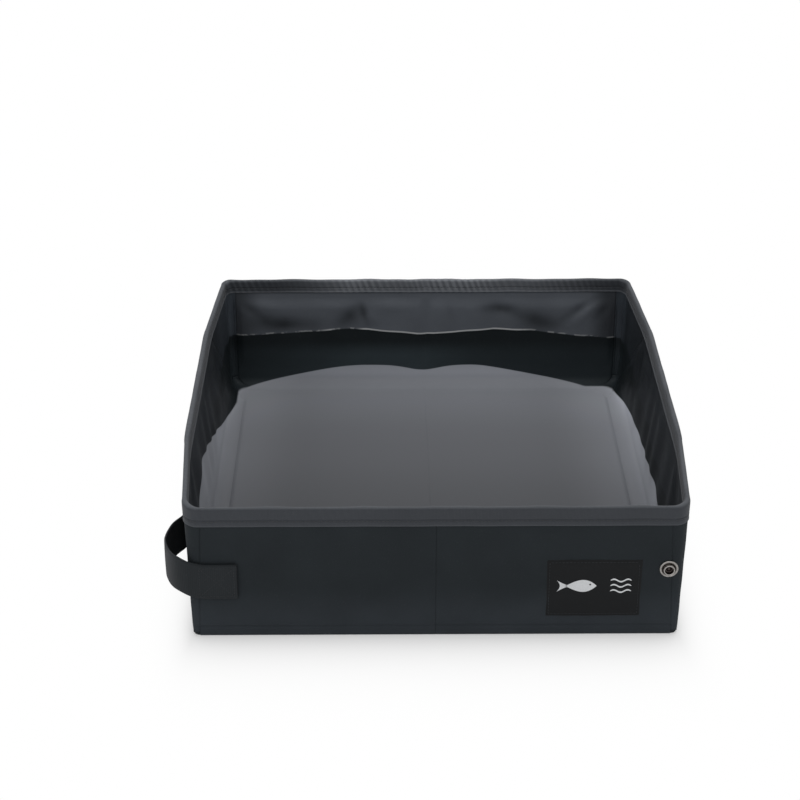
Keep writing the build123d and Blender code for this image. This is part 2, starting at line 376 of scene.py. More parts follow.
def mirrored(points, side, end):
    """Points of the front right quarter moved to another quarter."""
    return points * np.array([side, end, 1.0])


def walk(points, axis):
    """Distance walked along one axis of a grid of points."""
    steps = np.linalg.norm(np.diff(points, axis=axis), axis=-1)
    start = np.zeros_like(np.take(steps, [0], axis))
    return np.concatenate([start, np.cumsum(steps, axis)], axis)


def grid_faces(rows, columns):
    """Quads of a grid, each with its corners in order."""
    at = np.arange(rows * columns).reshape(rows, columns)
    return np.stack([at[:-1, :-1], at[1:, :-1], at[1:, 1:], at[:-1, 1:]], -1).reshape(-1, 4)


def sheet_data(points, flip, uv=None):
    """Vertices in metres, quads and UV of a grid of points. The UV is the distance walked."""
    rows, columns = points.shape[:2]
    if uv is None:
        uv = np.stack([walk(points, 0), walk(points, 1)], -1)
    faces = grid_faces(rows, columns)
    return points.reshape(-1, 3) * MM, faces[:, ::-1] if flip else faces, uv.reshape(-1, 2) * MM


def make_piece(name, parts, materials, attributes=None, merge=False):
    """One object at the origin from (vertices, faces, UV) parts, a material for each part.

    The attributes are kept on the first part's points. Merge joins doubled points, as where
    a profile closes on itself.
    """
    counts = np.cumsum([0] + [len(p[0]) for p in parts])
    vertices = np.concatenate([p[0] for p in parts])
    uv = np.concatenate([p[2] for p in parts])
    faces = [p[1] + start for p, start in zip(parts, counts)]
    mesh = bpy.data.meshes.new(name)
    mesh.from_pydata(vertices.tolist(), [], [f for block in faces for f in block.tolist()])
    used = list(dict.fromkeys(materials))
    for material in used:
        mesh.materials.append(material)
    index = np.concatenate([np.full(len(f), used.index(m)) for f, m in zip(faces, materials)])
    mesh.polygons.foreach_set("material_index", index.astype(np.int32))
    mesh.polygons.foreach_set("use_smooth", np.ones(len(index), bool))
    corner = np.empty(len(mesh.loops), np.int32)
    mesh.loops.foreach_get("vertex_index", corner)
    mesh.uv_layers.new(name="cloth").data.foreach_set("uv", uv[corner].astype(np.float32).ravel())
    for key, values in (attributes or {}).items():
        layer = mesh.attributes.new(key, "FLOAT", "POINT")
        filled = np.zeros(len(vertices), np.float32)
        filled[: values.size] = values.ravel()
        layer.data.foreach_set("value", filled)
    mesh.update()
    piece = bpy.data.objects.new(name, mesh)
    bpy.context.scene.collection.objects.link(piece)
    if merge:
        weld = piece.modifiers.new("Weld", "WELD")
        weld.merge_threshold = WELD
    return piece


def thicken(piece, thickness):
    """Cloth thickness on the inner side of a sheet."""
    solid = piece.modifiers.new("Thickness", "SOLIDIFY")
    solid.thickness = thickness * MM
    solid.offset = -1.0
    solid.use_rim = True
    return piece


def declare_sheet(piece, points):
    """Work out a sheet's width and length from its points, which nothing uses, and give the piece back."""
    width, tall = walk(points, 0)[-1].max() * MM, walk(points, 1)[:, -1].max() * MM
    return piece


def capsules(places, along, out, size, thick):
    """Stitches: a spindle at each place, with its length along the row.

    Each has four rings: a quarter of the thickness at both tips, and all of it between.
    """
    along, out = unit(along), unit(out)
    axes = np.stack([along, np.cross(along, out), out], 1)
    reach = np.array([-0.5, -0.32, 0.32, 0.5])
    width = np.array([0.25, 1.0, 1.0, 0.25])
    around = np.arange(STITCH_SIDES)
    turn = around * np.pi / (STITCH_SIDES / 2)
    ring = np.stack(
        [
            np.repeat(reach, STITCH_SIDES) * size,
            (width[:, None] * np.cos(turn)).ravel() * thick / 2,
            (width[:, None] * np.sin(turn)).ravel() * thick / 2,
        ],
        -1,
    )
    points = places[:, None] + np.einsum("vk,nkc->nvc", ring, axes)
    ahead = (around + 1) % STITCH_SIDES
    belt = np.stack([around, ahead, ahead + STITCH_SIDES, around + STITCH_SIDES], -1)
    one = np.concatenate([belt + k * STITCH_SIDES for k in range(len(reach) - 1)])
    faces = (one[None] + np.arange(len(places))[:, None, None] * len(ring)).reshape(-1, 4)
    uv = np.tile(ring[:, :2] * MM, (len(places), 1))
    return points.reshape(-1, 3) * MM, faces, uv


def along_path(points, pitch):
    """Places at an even pitch along a line of points, with the line's direction at each."""
    distance = walk(points, 0)
    at = np.arange(pitch, distance[-1] - pitch / 2, pitch)

    def place(along):
        return np.stack([np.interp(along, distance, points[:, k]) for k in range(3)], -1)

    return place(at), place(at + 0.5) - place(at - 0.5)


# Materials

# Colour of lint on dark cloth
LINT = (0.30, 0.30, 0.31)


def add_node(tree, kind, inputs=None, **settings):
    """A node with its settings, and for each socket a value or the output that feeds it."""
    node = tree.nodes.new(kind)
    for key, value in settings.items():
        setattr(node, key, value)
    for key, value in (inputs or {}).items():
        if isinstance(value, bpy.types.NodeSocket):
            tree.links.new(value, node.inputs[key])
        else:
            node.inputs[key].default_value = value
    return node


def calc(tree, operation, *values):
    """Result of a Math node."""
    return add_node(tree, "ShaderNodeMath", dict(enumerate(values)), operation=operation).outputs[0]


def product(tree, first, *others):
    """Values multiplied together."""
    for value in others:
        first = calc(tree, "MULTIPLY", first, value)
    return first


def between(tree, value, low, high, bottom=0.0, top=1.0, **settings):
    """A value's range from low to high brought to the range from bottom to top."""
    inputs = {0: value, 1: low, 2: high, 3: bottom, 4: top}
    return add_node(tree, "ShaderNodeMapRange", inputs, **settings).outputs[0]


def noise(tree, place, scale, detail):
    """Value of a noise texture."""
    inputs = {"Vector": place, "Scale": scale, "Detail": detail}
    return add_node(tree, "ShaderNodeTexNoise", inputs).outputs[0]


def kept(tree, label):
    """A value kept on the piece's mesh."""
    return add_node(tree, "ShaderNodeAttribute", attribute_name=label).outputs["Fac"]


def add_group(tree, group, **inputs):
    """Outputs of a shared node group, placed with its own values."""
    return add_node(tree, "ShaderNodeGroup", inputs, node_tree=group).outputs


def blend_colour(tree, factor, first, second, kind="MIX"):
    """Colour between two colours by a factor."""
    node = add_node(tree, "ShaderNodeMix", data_type="RGBA", blend_type=kind)
    for socket, value in ((0, factor), (6, first), (7, second)):
        if isinstance(value, bpy.types.NodeSocket):
            tree.links.new(value, node.inputs[socket])
        else:
            node.inputs[socket].default_value = value if socket == 0 else (*value, 1.0)
    return node.outputs[2]


def scaled_colour(tree, colour, level):
    """A colour times a level."""
    colour = colour if isinstance(colour, bpy.types.NodeSocket) else tuple(colour)
    return add_node(tree, "ShaderNodeVectorMath", {0: colour, "Scale": level}, operation="SCALE").outputs[0]


def new_group(name, inputs, outputs):
    """An empty shader node group with named sockets, and its two ends."""
    tree = bpy.data.node_groups.new(name, "ShaderNodeTree")
    for way, sockets in (("INPUT", inputs), ("OUTPUT", outputs)):
        for label, kind in sockets:
            tree.interface.new_socket(name=label, in_out=way, socket_type=f"NodeSocket{kind}")
    return tree, tree.nodes.new("NodeGroupInput").outputs, tree.nodes.new("NodeGroupOutput").inputs


def weave_group():
    """Plain weave: height is a sine across times a sine along, shade is its soft version."""
    name = "Plain Weave"
    if name in bpy.data.node_groups:
        return bpy.data.node_groups[name]
    tree, given, result = new_group(
        name,
        [("Place", "Vector"), ("Threads", "Float"), ("Unevenness", "Float")],
        [("Height", "Float"), ("Shade", "Float")],
    )
    place = add_node(tree, "ShaderNodeSeparateXYZ", {0: given["Place"]}).outputs
    slub = noise(tree, given["Place"], 900.0, 2.0)
    drift = product(tree, calc(tree, "SUBTRACT", slub, 0.5), given["Unevenness"])
    turn = product(tree, given["Threads"], 2 * math.pi)
    waves = [calc(tree, "SINE", calc(tree, "ADD", product(tree, place[k], turn), drift)) for k in (0, 1)]
    height = calc(tree, "MULTIPLY_ADD", product(tree, *waves), 0.5, 0.5)
    tree.links.new(height, result["Height"])
    tree.links.new(calc(tree, "MULTIPLY_ADD", height, 0.5, product(tree, slub, 0.5)), result["Shade"])
    return tree


def rib_group():
    """Ribs: height is the absolute sine of the place along one direction, broken by fine threads."""
    name = "Woven Ribs"
    if name in bpy.data.node_groups:
        return bpy.data.node_groups[name]
    tree, given, result = new_group(
        name,
        [("Place", "Vector"), ("Ribs", "Float"), ("Threads", "Float")],
        [("Height", "Float"), ("Shade", "Float")],
    )
    place = add_node(tree, "ShaderNodeSeparateXYZ", {0: given["Place"]}).outputs
    rib = calc(tree, "ABSOLUTE", calc(tree, "SINE", product(tree, place[0], given["Ribs"], math.pi)))
    thread = calc(tree, "SINE", product(tree, place[1], given["Threads"], 2 * math.pi))
    tree.links.new(calc(tree, "MULTIPLY_ADD", thread, 0.12, rib), result["Height"])
    tree.links.new(calc(tree, "MULTIPLY_ADD", rib, 0.6, 0.2), result["Shade"])
    return tree


def tone_group():
    """Cloth tone: broad patches from slow noise, with fine pale lint where a fast noise peaks."""
    name = "Cloth Tone"
    if name in bpy.data.node_groups:
        return bpy.data.node_groups[name]
    levels = [(label, "Float") for label in ("Shade", "Variation", "Lint")]
    tree, given, result = new_group(
        name, [("Place", "Vector"), ("Colour", "Color"), *levels], [("Colour", "Color")]
    )
    slow = noise(tree, given["Place"], 22.0, 4.0)
    fast = noise(tree, given["Place"], 700.0, 1.0)
    patch = product(tree, calc(tree, "SUBTRACT", slow, 0.5), given["Variation"])
    weave = product(tree, calc(tree, "SUBTRACT", given["Shade"], 0.5), given["Variation"])
    level = calc(tree, "ADD", calc(tree, "ADD", patch, weave), 1.0)
    scaled = scaled_colour(tree, given["Colour"], level)
    peak = between(tree, fast, 0.66, 0.74, 0.0, given["Lint"])
    tree.links.new(blend_colour(tree, peak, scaled, LINT), result["Colour"])
    return tree


def scuff_group():
    """Scuffs: a roughness from stretched noise between two values, and a height for fine dents."""
    name = "Scuffs"
    if name in bpy.data.node_groups:
        return bpy.data.node_groups[name]
    tree, given, result = new_group(
        name,
        [("Place", "Vector"), ("Smooth", "Float"), ("Worn", "Float")],
        [("Roughness", "Float"), ("Height", "Float")],
    )
    stretched = add_node(tree, "ShaderNodeMapping", {"Vector": given["Place"], "Scale": (1.0, 1.0, 3.0)})
    dents = noise(tree, stretched.outputs[0], 380.0, 3.0)
    tree.links.new(between(tree, dents, 0.35, 0.7, given["Smooth"], given["Worn"]), result["Roughness"])
    tree.links.new(dents, result["Height"])
    return tree


def new_material(name, roughness, specular=0.5, sheen=0.0, metallic=0.0):
    """A material with its Principled shader, whose uniform values are set on its own sockets."""
    material = bpy.data.materials.new(name)
    material.use_nodes = True
    tree = material.node_tree
    tree.nodes.clear()
    finish = {
        "Roughness": roughness,
        "Specular IOR Level": specular,
        "Sheen Weight": sheen,
        "Sheen Roughness": 0.55,
        "Metallic": metallic,
    }
    shader = add_node(tree, "ShaderNodeBsdfPrincipled", finish)
    add_node(tree, "ShaderNodeOutputMaterial", {"Surface": shader.outputs[0]})
    return material, tree, shader


def places(tree):
    """Object coordinates, and the piece's own UV in metres."""
    return (
        add_node(tree, "ShaderNodeTexCoord").outputs["Object"],
        add_node(tree, "ShaderNodeUVMap", uv_map="cloth").outputs[0],
    )


def add_bump(tree, shader, height, distance, strength=1.0, below=None):
    """Bump of a height in millimetres, on top of another bump's normal."""
    inputs = {"Height": height, "Distance": distance * MM, "Strength": strength}
    if below is not None:
        inputs["Normal"] = below
    bump = add_node(tree, "ShaderNodeBump", inputs).outputs[0]
    tree.links.new(bump, shader.inputs["Normal"])
    return bump


def woven_material(name, colour, threads, depth, ribs=0.0, lit=None, lint=0.02, variation=0.45, **finish):
    """Woven cloth or ribbed tape with its weave, tone and lint.

    With a second colour, the mesh's kept painted light value blends it in as painted light.
    """
    if name in bpy.data.materials:
        return bpy.data.materials[name]
    material, tree, shader = new_material(name, **finish)
    solid, flat = places(tree)
    if ribs:
        weave = add_group(tree, rib_group(), Place=flat, Ribs=ribs, Threads=threads)
    else:
        weave = add_group(tree, weave_group(), Place=flat, Threads=threads, Unevenness=3.0)
    cloth = (*colour, 1.0)
    # Painted light: the paler colour blended in where the mesh keeps painted light
    if lit is not None:
        cloth = blend_colour(tree, kept(tree, "painted_light"), colour, lit)
    levels = {"Shade": weave["Shade"], "Variation": variation, "Lint": lint}
    tone = add_group(tree, tone_group(), Place=solid, Colour=cloth, **levels)
    tree.links.new(tone["Colour"], shader.inputs["Base Color"])
    soft = add_bump(tree, shader, noise(tree, solid, 60.0, 3.0), 0.5, 0.35)
    add_bump(tree, shader, weave["Height"], depth, 0.7, soft)
    return material


def lining_material(name, upper, colours, specular):
    """Coated lining: a painted dark reflection below a painted pale glint, and a painted grey reflection
    below its soft edge.

    The areas come from two heights kept on the mesh: above the painted grey's edge, and above
    the glint line. The glint is an S curve of the distance to its line, broken by noise where
    it isn't whole. Other kept values paint shade in the hollows and paint light on the cloth and the grey.
    """
    if name in bpy.data.materials:
        return bpy.data.materials[name]
    material, tree, shader = new_material(name, roughness=0.45, specular=specular)
    solid, flat = places(tree)
    above_glint = kept(tree, "above_glint")

    def over(value, low, high):
        return between(tree, value, low, high, interpolation_type="SMOOTHSTEP")

    weave = add_group(tree, weave_group(), Place=flat, Threads=1500.0, Unevenness=2.0)
    high = scaled_colour(tree, upper, kept(tree, "upper_painted_light"))
    low = scaled_colour(tree, colours.lining_low, kept(tree, "low_painted_light"))
    wall = blend_colour(tree, over(above_glint, -1.2, 0.2), low, high)
    # Painted shade: the hollows darkened towards the low band's colour
    shaded = blend_colour(tree, kept(tree, "hollow"), wall, colours.lining_low)
    levels = {"Shade": weave["Shade"], "Variation": 0.35, "Lint": 0.02}
    tone = add_group(tree, tone_group(), Place=solid, Colour=shaded, **levels)
    # Painted glint: a pale line along its height, broken by noise where it isn't whole
    broken = over(noise(tree, solid, 130.0, 2.0), 0.46, 0.56)
    drawn = calc(tree, "MAXIMUM", broken, kept(tree, "glint_whole"))
    near = calc(tree, "SUBTRACT", 1.0, over(calc(tree, "ABSOLUTE", above_glint), 0.35, 1.15))
    line = product(tree, near, kept(tree, "glint_line"), drawn)
    lined = blend_colour(tree, line, tone["Colour"], colours.crease)
    # Painted reflection: grey below its edge, scaled by its painted light
    grey = scaled_colour(tree, colours.floor, kept(tree, "grey_light"))
    edge = over(kept(tree, "above_grey_edge"), -0.5, 0.5)
    tree.links.new(blend_colour(tree, edge, grey, lined), shader.inputs["Base Color"])
    tree.links.new(calc(tree, "MULTIPLY_ADD", edge, -0.07, 0.55), shader.inputs["Roughness"])
    soft = add_bump(tree, shader, product(tree, noise(tree, solid, 45.0, 2.5), edge), 0.8, 0.4)
    add_bump(tree, shader, product(tree, weave["Height"], edge), 0.03, 0.25, soft)
    return material


def scuffed_material(name, colour, dark, rough, spots, bump, metallic=0.0):
    """A hard surface with scuffs.

    Rough, spots and bump are pairs: its least and most roughness, the range of the scuffs'
    height over which its colour falls to the dark share, and the dents' depth and strength.
    """
    if name in bpy.data.materials:
        return bpy.data.materials[name]
    material, tree, shader = new_material(name, rough[0], metallic=metallic)
    solid, _ = places(tree)
    scuffs = add_group(tree, scuff_group(), Place=solid, Smooth=rough[0], Worn=rough[1])
    tree.links.new(scuffs["Roughness"], shader.inputs["Roughness"])
    dull = between(tree, scuffs["Height"], *spots)
    darker = tuple(dark * c for c in colour)
    tree.links.new(blend_colour(tree, dull, colour, darker), shader.inputs["Base Color"])
    add_bump(tree, shader, scuffs["Height"], *bump)
    return material


def metal_material(name, colour):
    """Nickel plate with scuffs."""
    return scuffed_material(name, colour, 0.6, (0.18, 0.42), (0.4, 0.75), (0.02, 0.3), metallic=1.0)


def board_material(colour):
    """Extruded board: grey sheet with fine lines and specks."""
    return scuffed_material("board sheet", colour, 0.75, (0.42, 0.62), (0.0, 1.0), (0.05, 0.4))


def outer_cloth(colours):
    """Oxford weave of the outside."""
    # Painted light: paler towards the ground, for light thrown up by the floor
    return woven_material(
        "outer cloth", colours.cloth, 950.0, 0.14, lit=colours.cloth_low, roughness=0.9, specular=0.16
    )


def tape_cloth(colours):
    """Grosgrain of the rim tape, with its ribs across the tape."""
    # Painted highlight: the paler tape colour blended in by the tape's kept painted light
    return woven_material(
        "rim tape", colours.tape, 2000.0, 0.06, ribs=900.0, lit=colours.tape_highlight,
        roughness=0.75, specular=0.25, sheen=0.06, variation=0.25,
    )


def thread_cloth(colours):
    """Twisted sewing thread."""
    finish = {"roughness": 0.6, "specular": 0.5}
    return woven_material("sewing thread", colours.thread, 3000.0, 0.05, ribs=2500.0, **finish)


def dark_thread_cloth(colours):
    """Twisted thread of the strap's sewing."""
    finish = {"roughness": 0.7, "specular": 0.2}
    return woven_material("strap thread", colours.dark_thread, 3000.0, 0.05, ribs=2500.0, **finish)


# Walls and corners

# Radius of the outer cloth's turn under the foot, and the inset of its edge there
FOOT_ROUND, UNDER_FOOT = 1.5, 3.2
# How far the outer cloth turns in at the centre crease
CREASE_RETURN = 2.4
# Thickness of the outer cloth and of the lining
OUTER_CLOTH, LINING_CLOTH = 0.6, 0.4
# How far the base's cloth stands behind the walls' cloth, and turns up at the centre crease
BEHIND_WALL, CREASE_LIFT = 0.65, 1.4
# Height of the seam along the foot, and how far the swellings beside it lie from it
SEAM_HEIGHT, SEAM_SWELL = 9.2, 2.4
# Heights above which the outer cloth and the lining lie flat, under the tape
CLOTH_TOP, LINING_TOP = 118, 102


def foot_groove(z):
    """Inset of the foot seam: a groove between two low swellings, each a bell of the height."""
    above, below = bell(z, SEAM_HEIGHT + SEAM_SWELL, 1.6), bell(z, SEAM_HEIGHT - SEAM_SWELL, 1.4)
    return 0.6 * bell(z, SEAM_HEIGHT, 0.7) - 0.25 * above - 0.2 * below


def foot_bounce_light(points):
    """Painted light on the outer cloth, a kept value rising from mid height to the ground, for light thrown
    up by the floor.
    """
    return {"painted_light": smooth_step(50 - points[..., 2], 0, 42)}


def front_relief(x, z, end, gap):
    """Inset of the cloth's unevenness on a front or rear face, none at the panel's end."""
    swell = 0.16 * rolling(x, z, 61.0, 0.4 * end) + 0.05 * rolling(x, z, 17.0, 1.0 + end)
    return swell * (band(z, 4, 20, CLOTH_TOP, 12) * smooth_step(gap, 0, 9)) + foot_groove(z)


def seam_groove(gap):
    """Groove of the upright seam at the end of a front or rear board, by the distance to it."""
    return 0.5 * bell(gap, 0, 0.6)


def foot_heights(top):
    """Heights of a skin from the foot to the top, close together round the foot seam."""
    return np.concatenate(
        [np.linspace(1.5, 7.5, 6), np.linspace(8.0, 10.6, 9), np.linspace(12.0, top, 44)]
    )


def foot_profile(t):
    """Inset and height of the outer cloth: a return under the foot, a quarter circle, straight."""
    turn = np.linspace(0, np.pi / 2, 6)[:-1]
    heights = foot_heights(t.rim_height - 1)
    inset = np.concatenate([[UNDER_FOOT], FOOT_ROUND - FOOT_ROUND * np.sin(turn), 0 * heights])
    return inset, np.concatenate([[0.0], FOOT_ROUND - FOOT_ROUND * np.cos(turn), heights])


def cloth_piece(name, points, flip, cloth, values, thickness):
    """One sheet of cloth with its kept values, and its thickness on the inner side."""
    return thicken(make_piece(name, [sheet_data(points, flip)], [cloth], values), thickness)


def outer_panel(side, end, t):
    """Outer skin of half a front or rear wall, from under the foot to below the tape.

    Columns turn in at the crease by a quarter circle and a short return, which stands a
    little off the ground.
    """
    share = np.concatenate([np.linspace(0, 0.975, 66)[:-1], np.linspace(0.975, 1, 14)])
    grid_share, grid_inset, grid_z = grids(share, *foot_profile(t))
    points = front_points(grid_share, grid_z, grid_inset, t, t.crease_gap + t.crease_roll)
    edge = panel_stop(grid_z, 0, t) - points[..., 0]
    relief = front_relief(side * points[..., 0], grid_z, end, edge) + seam_groove(edge)
    points[..., 1] += np.where(grid_z > FOOT_ROUND - 0.1, relief, 0)
    turn = np.linspace(0, np.pi / 2, 6)[1:-1]
    wrap_x = t.crease_gap + t.crease_roll * np.array([0.0, 0.0, *(1 - np.cos(turn))])
    wrap_in = np.array([CREASE_RETURN, t.crease_roll, *(t.crease_roll * (1 - np.sin(turn)))])
    wrap = np.repeat(points[:1], len(wrap_x), 0)
    wrap[..., 0] = wrap_x[:, None]
    wrap[..., 1] += wrap_in[:, None]
    wrap[..., 2] = np.maximum(wrap[..., 2], 0.4 * wrap_in[:, None])
    return mirrored(np.concatenate([wrap, points]), side, end)


def outer_side(side, t):
    """Outer skin of a side wall, from under the foot to below the tape.

    Its swell is slight, because the folded corner lies close on it and the board close under.
    """
    grid_share, grid_inset, grid_z = grids(np.linspace(0, 1, 90), *foot_profile(t))
    points = side_points(grid_share, grid_z, grid_inset, t)
    swell = 0.09 * (rolling(points[..., 1], grid_z, 73.0, 0.8 * side) - 2.2)
    swell = swell + 0.03 * rolling(points[..., 1], grid_z, 21.0, side)
    at_end = bell(np.abs(points[..., 1]), side_stop(grid_z, 0, t), 2.0)
    relief = swell * band(grid_z, 4, 22, CLOTH_TOP, 12) * (1 - at_end) - 0.6 * bell(grid_z, 5.2, 0.8)
    points[..., 0] += np.where(grid_z > FOOT_ROUND - 0.1, relief, 0)
    return mirrored(points, side, FRONT)


def corner_skin(side, end, t, heights):
    """Outer skin of the soft corner between a front panel and a side panel.

    Gathers run up the corner: sines of the height and the step, fading at its edges. A
    column at each edge is tucked under the panel beside it.
    """
    grid_step, grid_z = np.meshgrid(corner_steps(12, 14, 26), heights, indexing="ij")
    points = corner_points(grid_step, grid_z, 0.0, t)
    free = np.sin(np.pi * np.clip(grid_step / 3, 0, 1)) ** 0.5 * smooth_step(grid_z, 4, 24)
    tuck = 0.35 * np.sin(7.5 * grid_step + grid_z / 23 + side + end)
    tuck = tuck + 0.2 * rolling(grid_z, 9 * grid_step, 29.0, end + side)
    seam = seam_groove(points[..., 0] - panel_stop(grid_z, 0.0, t)) * (grid_step < 1.2)
    out = unit(points[..., :2] - CORNER_CENTRE)
    points[..., :2] += out * (0.5 * free * (tuck - 0.5))[..., None]
    points[..., 1] += seam + foot_groove(grid_z) * (1 - smooth_step(grid_step, 0.8, 2.0))
    under_front = points[:1] + np.array([-1.6, 0.65, 0.0])
    under_side = points[-1:] + np.array([-0.65, 1.6, 0.0])
    return mirrored(np.concatenate([under_front, points, under_side]), side, end)


class CLOTHTRAY_OT_outer_walls(bpy.types.Operator):
    """Builds the outer cloth of the front, rear and side walls"""

    bl_idname = "clothtray.outer_walls"
    bl_label = "Outer Walls"
    bl_options = {"REGISTER", "UNDO"}

    def execute(self, context):
        cloth = outer_cloth(context.scene.tray_colours)
        for word, side in SIDES:
            for end_word, end in ENDS:
                t = sizes(context.scene.tray_sizes, end)
                points = outer_panel(side, end, t)
                name = f"{end_word}_wall_cloth_{word}"
                piece = cloth_piece(name, points, side * end < 0, cloth, foot_bounce_light(points), OUTER_CLOTH)
                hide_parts(f"{end_word}_wall_outer_{word}", f"{end_word}_foot_band_{word}")
                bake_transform(piece)
                declare_sheet(piece, points)
            points = outer_side(side, t)
            name = f"{word}_wall_cloth"
            piece = cloth_piece(name, points, side < 0, cloth, foot_bounce_light(points), OUTER_CLOTH)
            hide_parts(f"{word}_wall_outer")
            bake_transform(piece)
            declare_sheet(piece, points)
        return {"FINISHED"}


class CLOTHTRAY_OT_corners(bpy.types.Operator):
    """Builds the outer cloth of the four soft corners"""

    bl_idname = "clothtray.corners"
    bl_label = "Corners"
    bl_options = {"REGISTER", "UNDO"}

    def execute(self, context):
        cloth = outer_cloth(context.scene.tray_colours)
        for word, side in SIDES:
            for end_word, end in ENDS:
                t = sizes(context.scene.tray_sizes, end)
                points = corner_skin(side, end, t, foot_heights(t.rim_height - 1)[2:])
                name = f"corner_cloth_{end_word}_{word}"
                piece = cloth_piece(name, points, side * end < 0, cloth, foot_bounce_light(points), OUTER_CLOTH)
                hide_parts(f"gusset_{end_word}_{word}")
                corner_blend(piece)
                declare_sheet(piece, points)
        return {"FINISHED"}


def corner_blend(piece):
    """Bake a corner piece's placement into its mesh."""
    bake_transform(piece)


class CLOTHTRAY_OT_base(bpy.types.Operator):
    """Builds the outer cloth of the two base halves"""

    bl_idname = "clothtray.base"
    bl_label = "Base"
    bl_options = {"REGISTER", "UNDO"}

    def execute(self, context):
        t, cloth = sizes(context.scene.tray_sizes), outer_cloth(context.scene.tray_colours)
        for word, side in SIDES:
            points = base_cover(side, t)
            piece = make_piece(f"base_cover_{word}", [sheet_data(points, side < 0)], [cloth], merge=True)
            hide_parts(f"base_cloth_{word}")
            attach(piece, f"base_{word}")
            declare_sheet(thicken(piece, OUTER_CLOTH), points)
        return {"FINISHED"}


def outline(inset, z, t):
    """Plan line of the right half from the front crease round both corners to the rear crease."""
    step = corner_steps(3, 10, 3)
    depth = t.half_depth - inset
    share = np.linspace(0, 1, 24)[:-1]
    front = front_points(share, z, inset, t, t.crease_gap)
    corner = corner_points(step, z, inset, t)
    y = np.linspace(corner[-1, 1], -corner[-1, 1], 40)[1:-1]
    straight = np.stack([side_x(y, z, t) - inset, y, z + 0 * y], -1)
    quarter = np.concatenate([front, corner])
    back = quarter[::-1] * np.array([1, -1, 1])
    line = np.concatenate([quarter, straight, back])
    line[:, 1] = np.clip(line[:, 1], -depth, depth)
    return line


def base_cover(side, t):
    """Underside and low rim of half the base.

    Inner rows fan out from the crease to the outline: their starts are spread along the
    crease as their ends are along the outline. Outer rows follow a quarter circle up to a
    short rim, a little inside the wall cloth.
    """
    edge = outline(FOOT_ROUND + BEHIND_WALL, 0.0, t)
    along = walk(edge, 0) / walk(edge, 0)[-1]
    crease = edge.copy()
    crease[:, 0] = t.crease_gap
    crease[:, 1] = edge[0, 1] + along * (edge[-1, 1] - edge[0, 1])
    rows = []
    for share in np.linspace(0, 1, 14)[:-1]:
        row = crease + share * (edge - crease)
        row[:, 2] = 0.05 * (1 - share)
        rows.append(row)
    lift = rows[0].copy()
    lift[:, 2] = CREASE_LIFT
    rows = [lift] + rows
    for angle in np.linspace(0, np.pi / 2, 6):
        inset, z = FOOT_ROUND - FOOT_ROUND * math.sin(angle), FOOT_ROUND - FOOT_ROUND * math.cos(angle)
        rows.append(outline(BEHIND_WALL + inset, z, t))
    for z in (2.4, 3.2, 3.8):
        rows.append(outline(BEHIND_WALL, z, t))
    rows.append(outline(BEHIND_WALL + 1.2, 3.85, t))
    return mirrored(np.stack(rows, 1), side, FRONT)


# Linings

# How far the linings stand off the floor and the boards at least
LINING_LIFT = 0.05
# Slack of the lining before the board, on the end walls and on the sides
END_SLACK, SIDE_SLACK = 1.7, 1.3
# How far the lining turns outward at the centre crease
LINING_RETURN = 1.8
# Radius of the flat place round the back of the press stud
STUD_FLAT = 11.0
# Dark line under the tape's inner edge: its distance below the rim
TAPE_SHADOW = 13.4
# Painted light: how much paler the corners' lining is painted where it meets an end wall, to match the end
# walls' paler copy of the cloth
CORNER_LIGHT = 9.0
# Rows of the lining's profile up to the top of the cove
COVE_ROWS = 19
# Places on the rear lining's painted glint line, which is also the top of the painted dark band
GLINT_X = (-195, -160, -125, -92, -74, -2, 67, 105, 145, 175, 195)
GLINT_Z = (60.5, 62.0, 64.3, 66.5, 68.4, 61.5, 67.2, 65.6, 60.5, 57.8, 56.5)
# Painted shade on the rear lining, patches over its hollows: place, half width, half height and darkness
HOLLOWS = (
    (-143, 70, 36, 10, 0.3),
    (-74, 78, 15, 12, 0.26),
    (64, 89, 13, 9, 0.24),
    (112, 71, 30, 12, 0.36),
)
# Drag folds of the end linings: both ends, half width, and height towards the inside
REAR_FOLDS = (
    ((-186, 99), (-160, 78), 5.5, -1.5),
    ((-174, 104), (-148, 90), 7.0, 1.2),
    ((-168, 74), (-112, 71), 8.5, -1.7),
    ((-64, 95), (-58, 72), 3.8, -1.9),
    ((-66, 93), (-84, 70), 8.5, -1.8),
    ((-52, 82), (-48, 70), 5.0, 0.9),
    ((-110, 100), (-86, 92), 8.0, 1.0),
    ((-60, 101), (-20, 96), 9.0, 1.2),
    ((-52, 84), (-58, 76), 6.0, 0.9),
    ((58, 88), (86, 90), 6.0, -1.2),
    ((84, 86), (128, 70), 8.5, -1.4),
    ((70, 92), (92, 80), 6.0, -0.9),
    ((20, 96), (28, 74), 4.0, -0.4),
    ((138, 78), (166, 99), 5.5, -1.8),
    ((150, 74), (170, 96), 5.5, 1.1),
    ((170, 78), (182, 96), 4.5, -1.1),
)
FRONT_FOLDS = (((-140, 95), (-110, 72), 8.0, -0.9), ((60, 97), (96, 78), 8.0, -0.9))


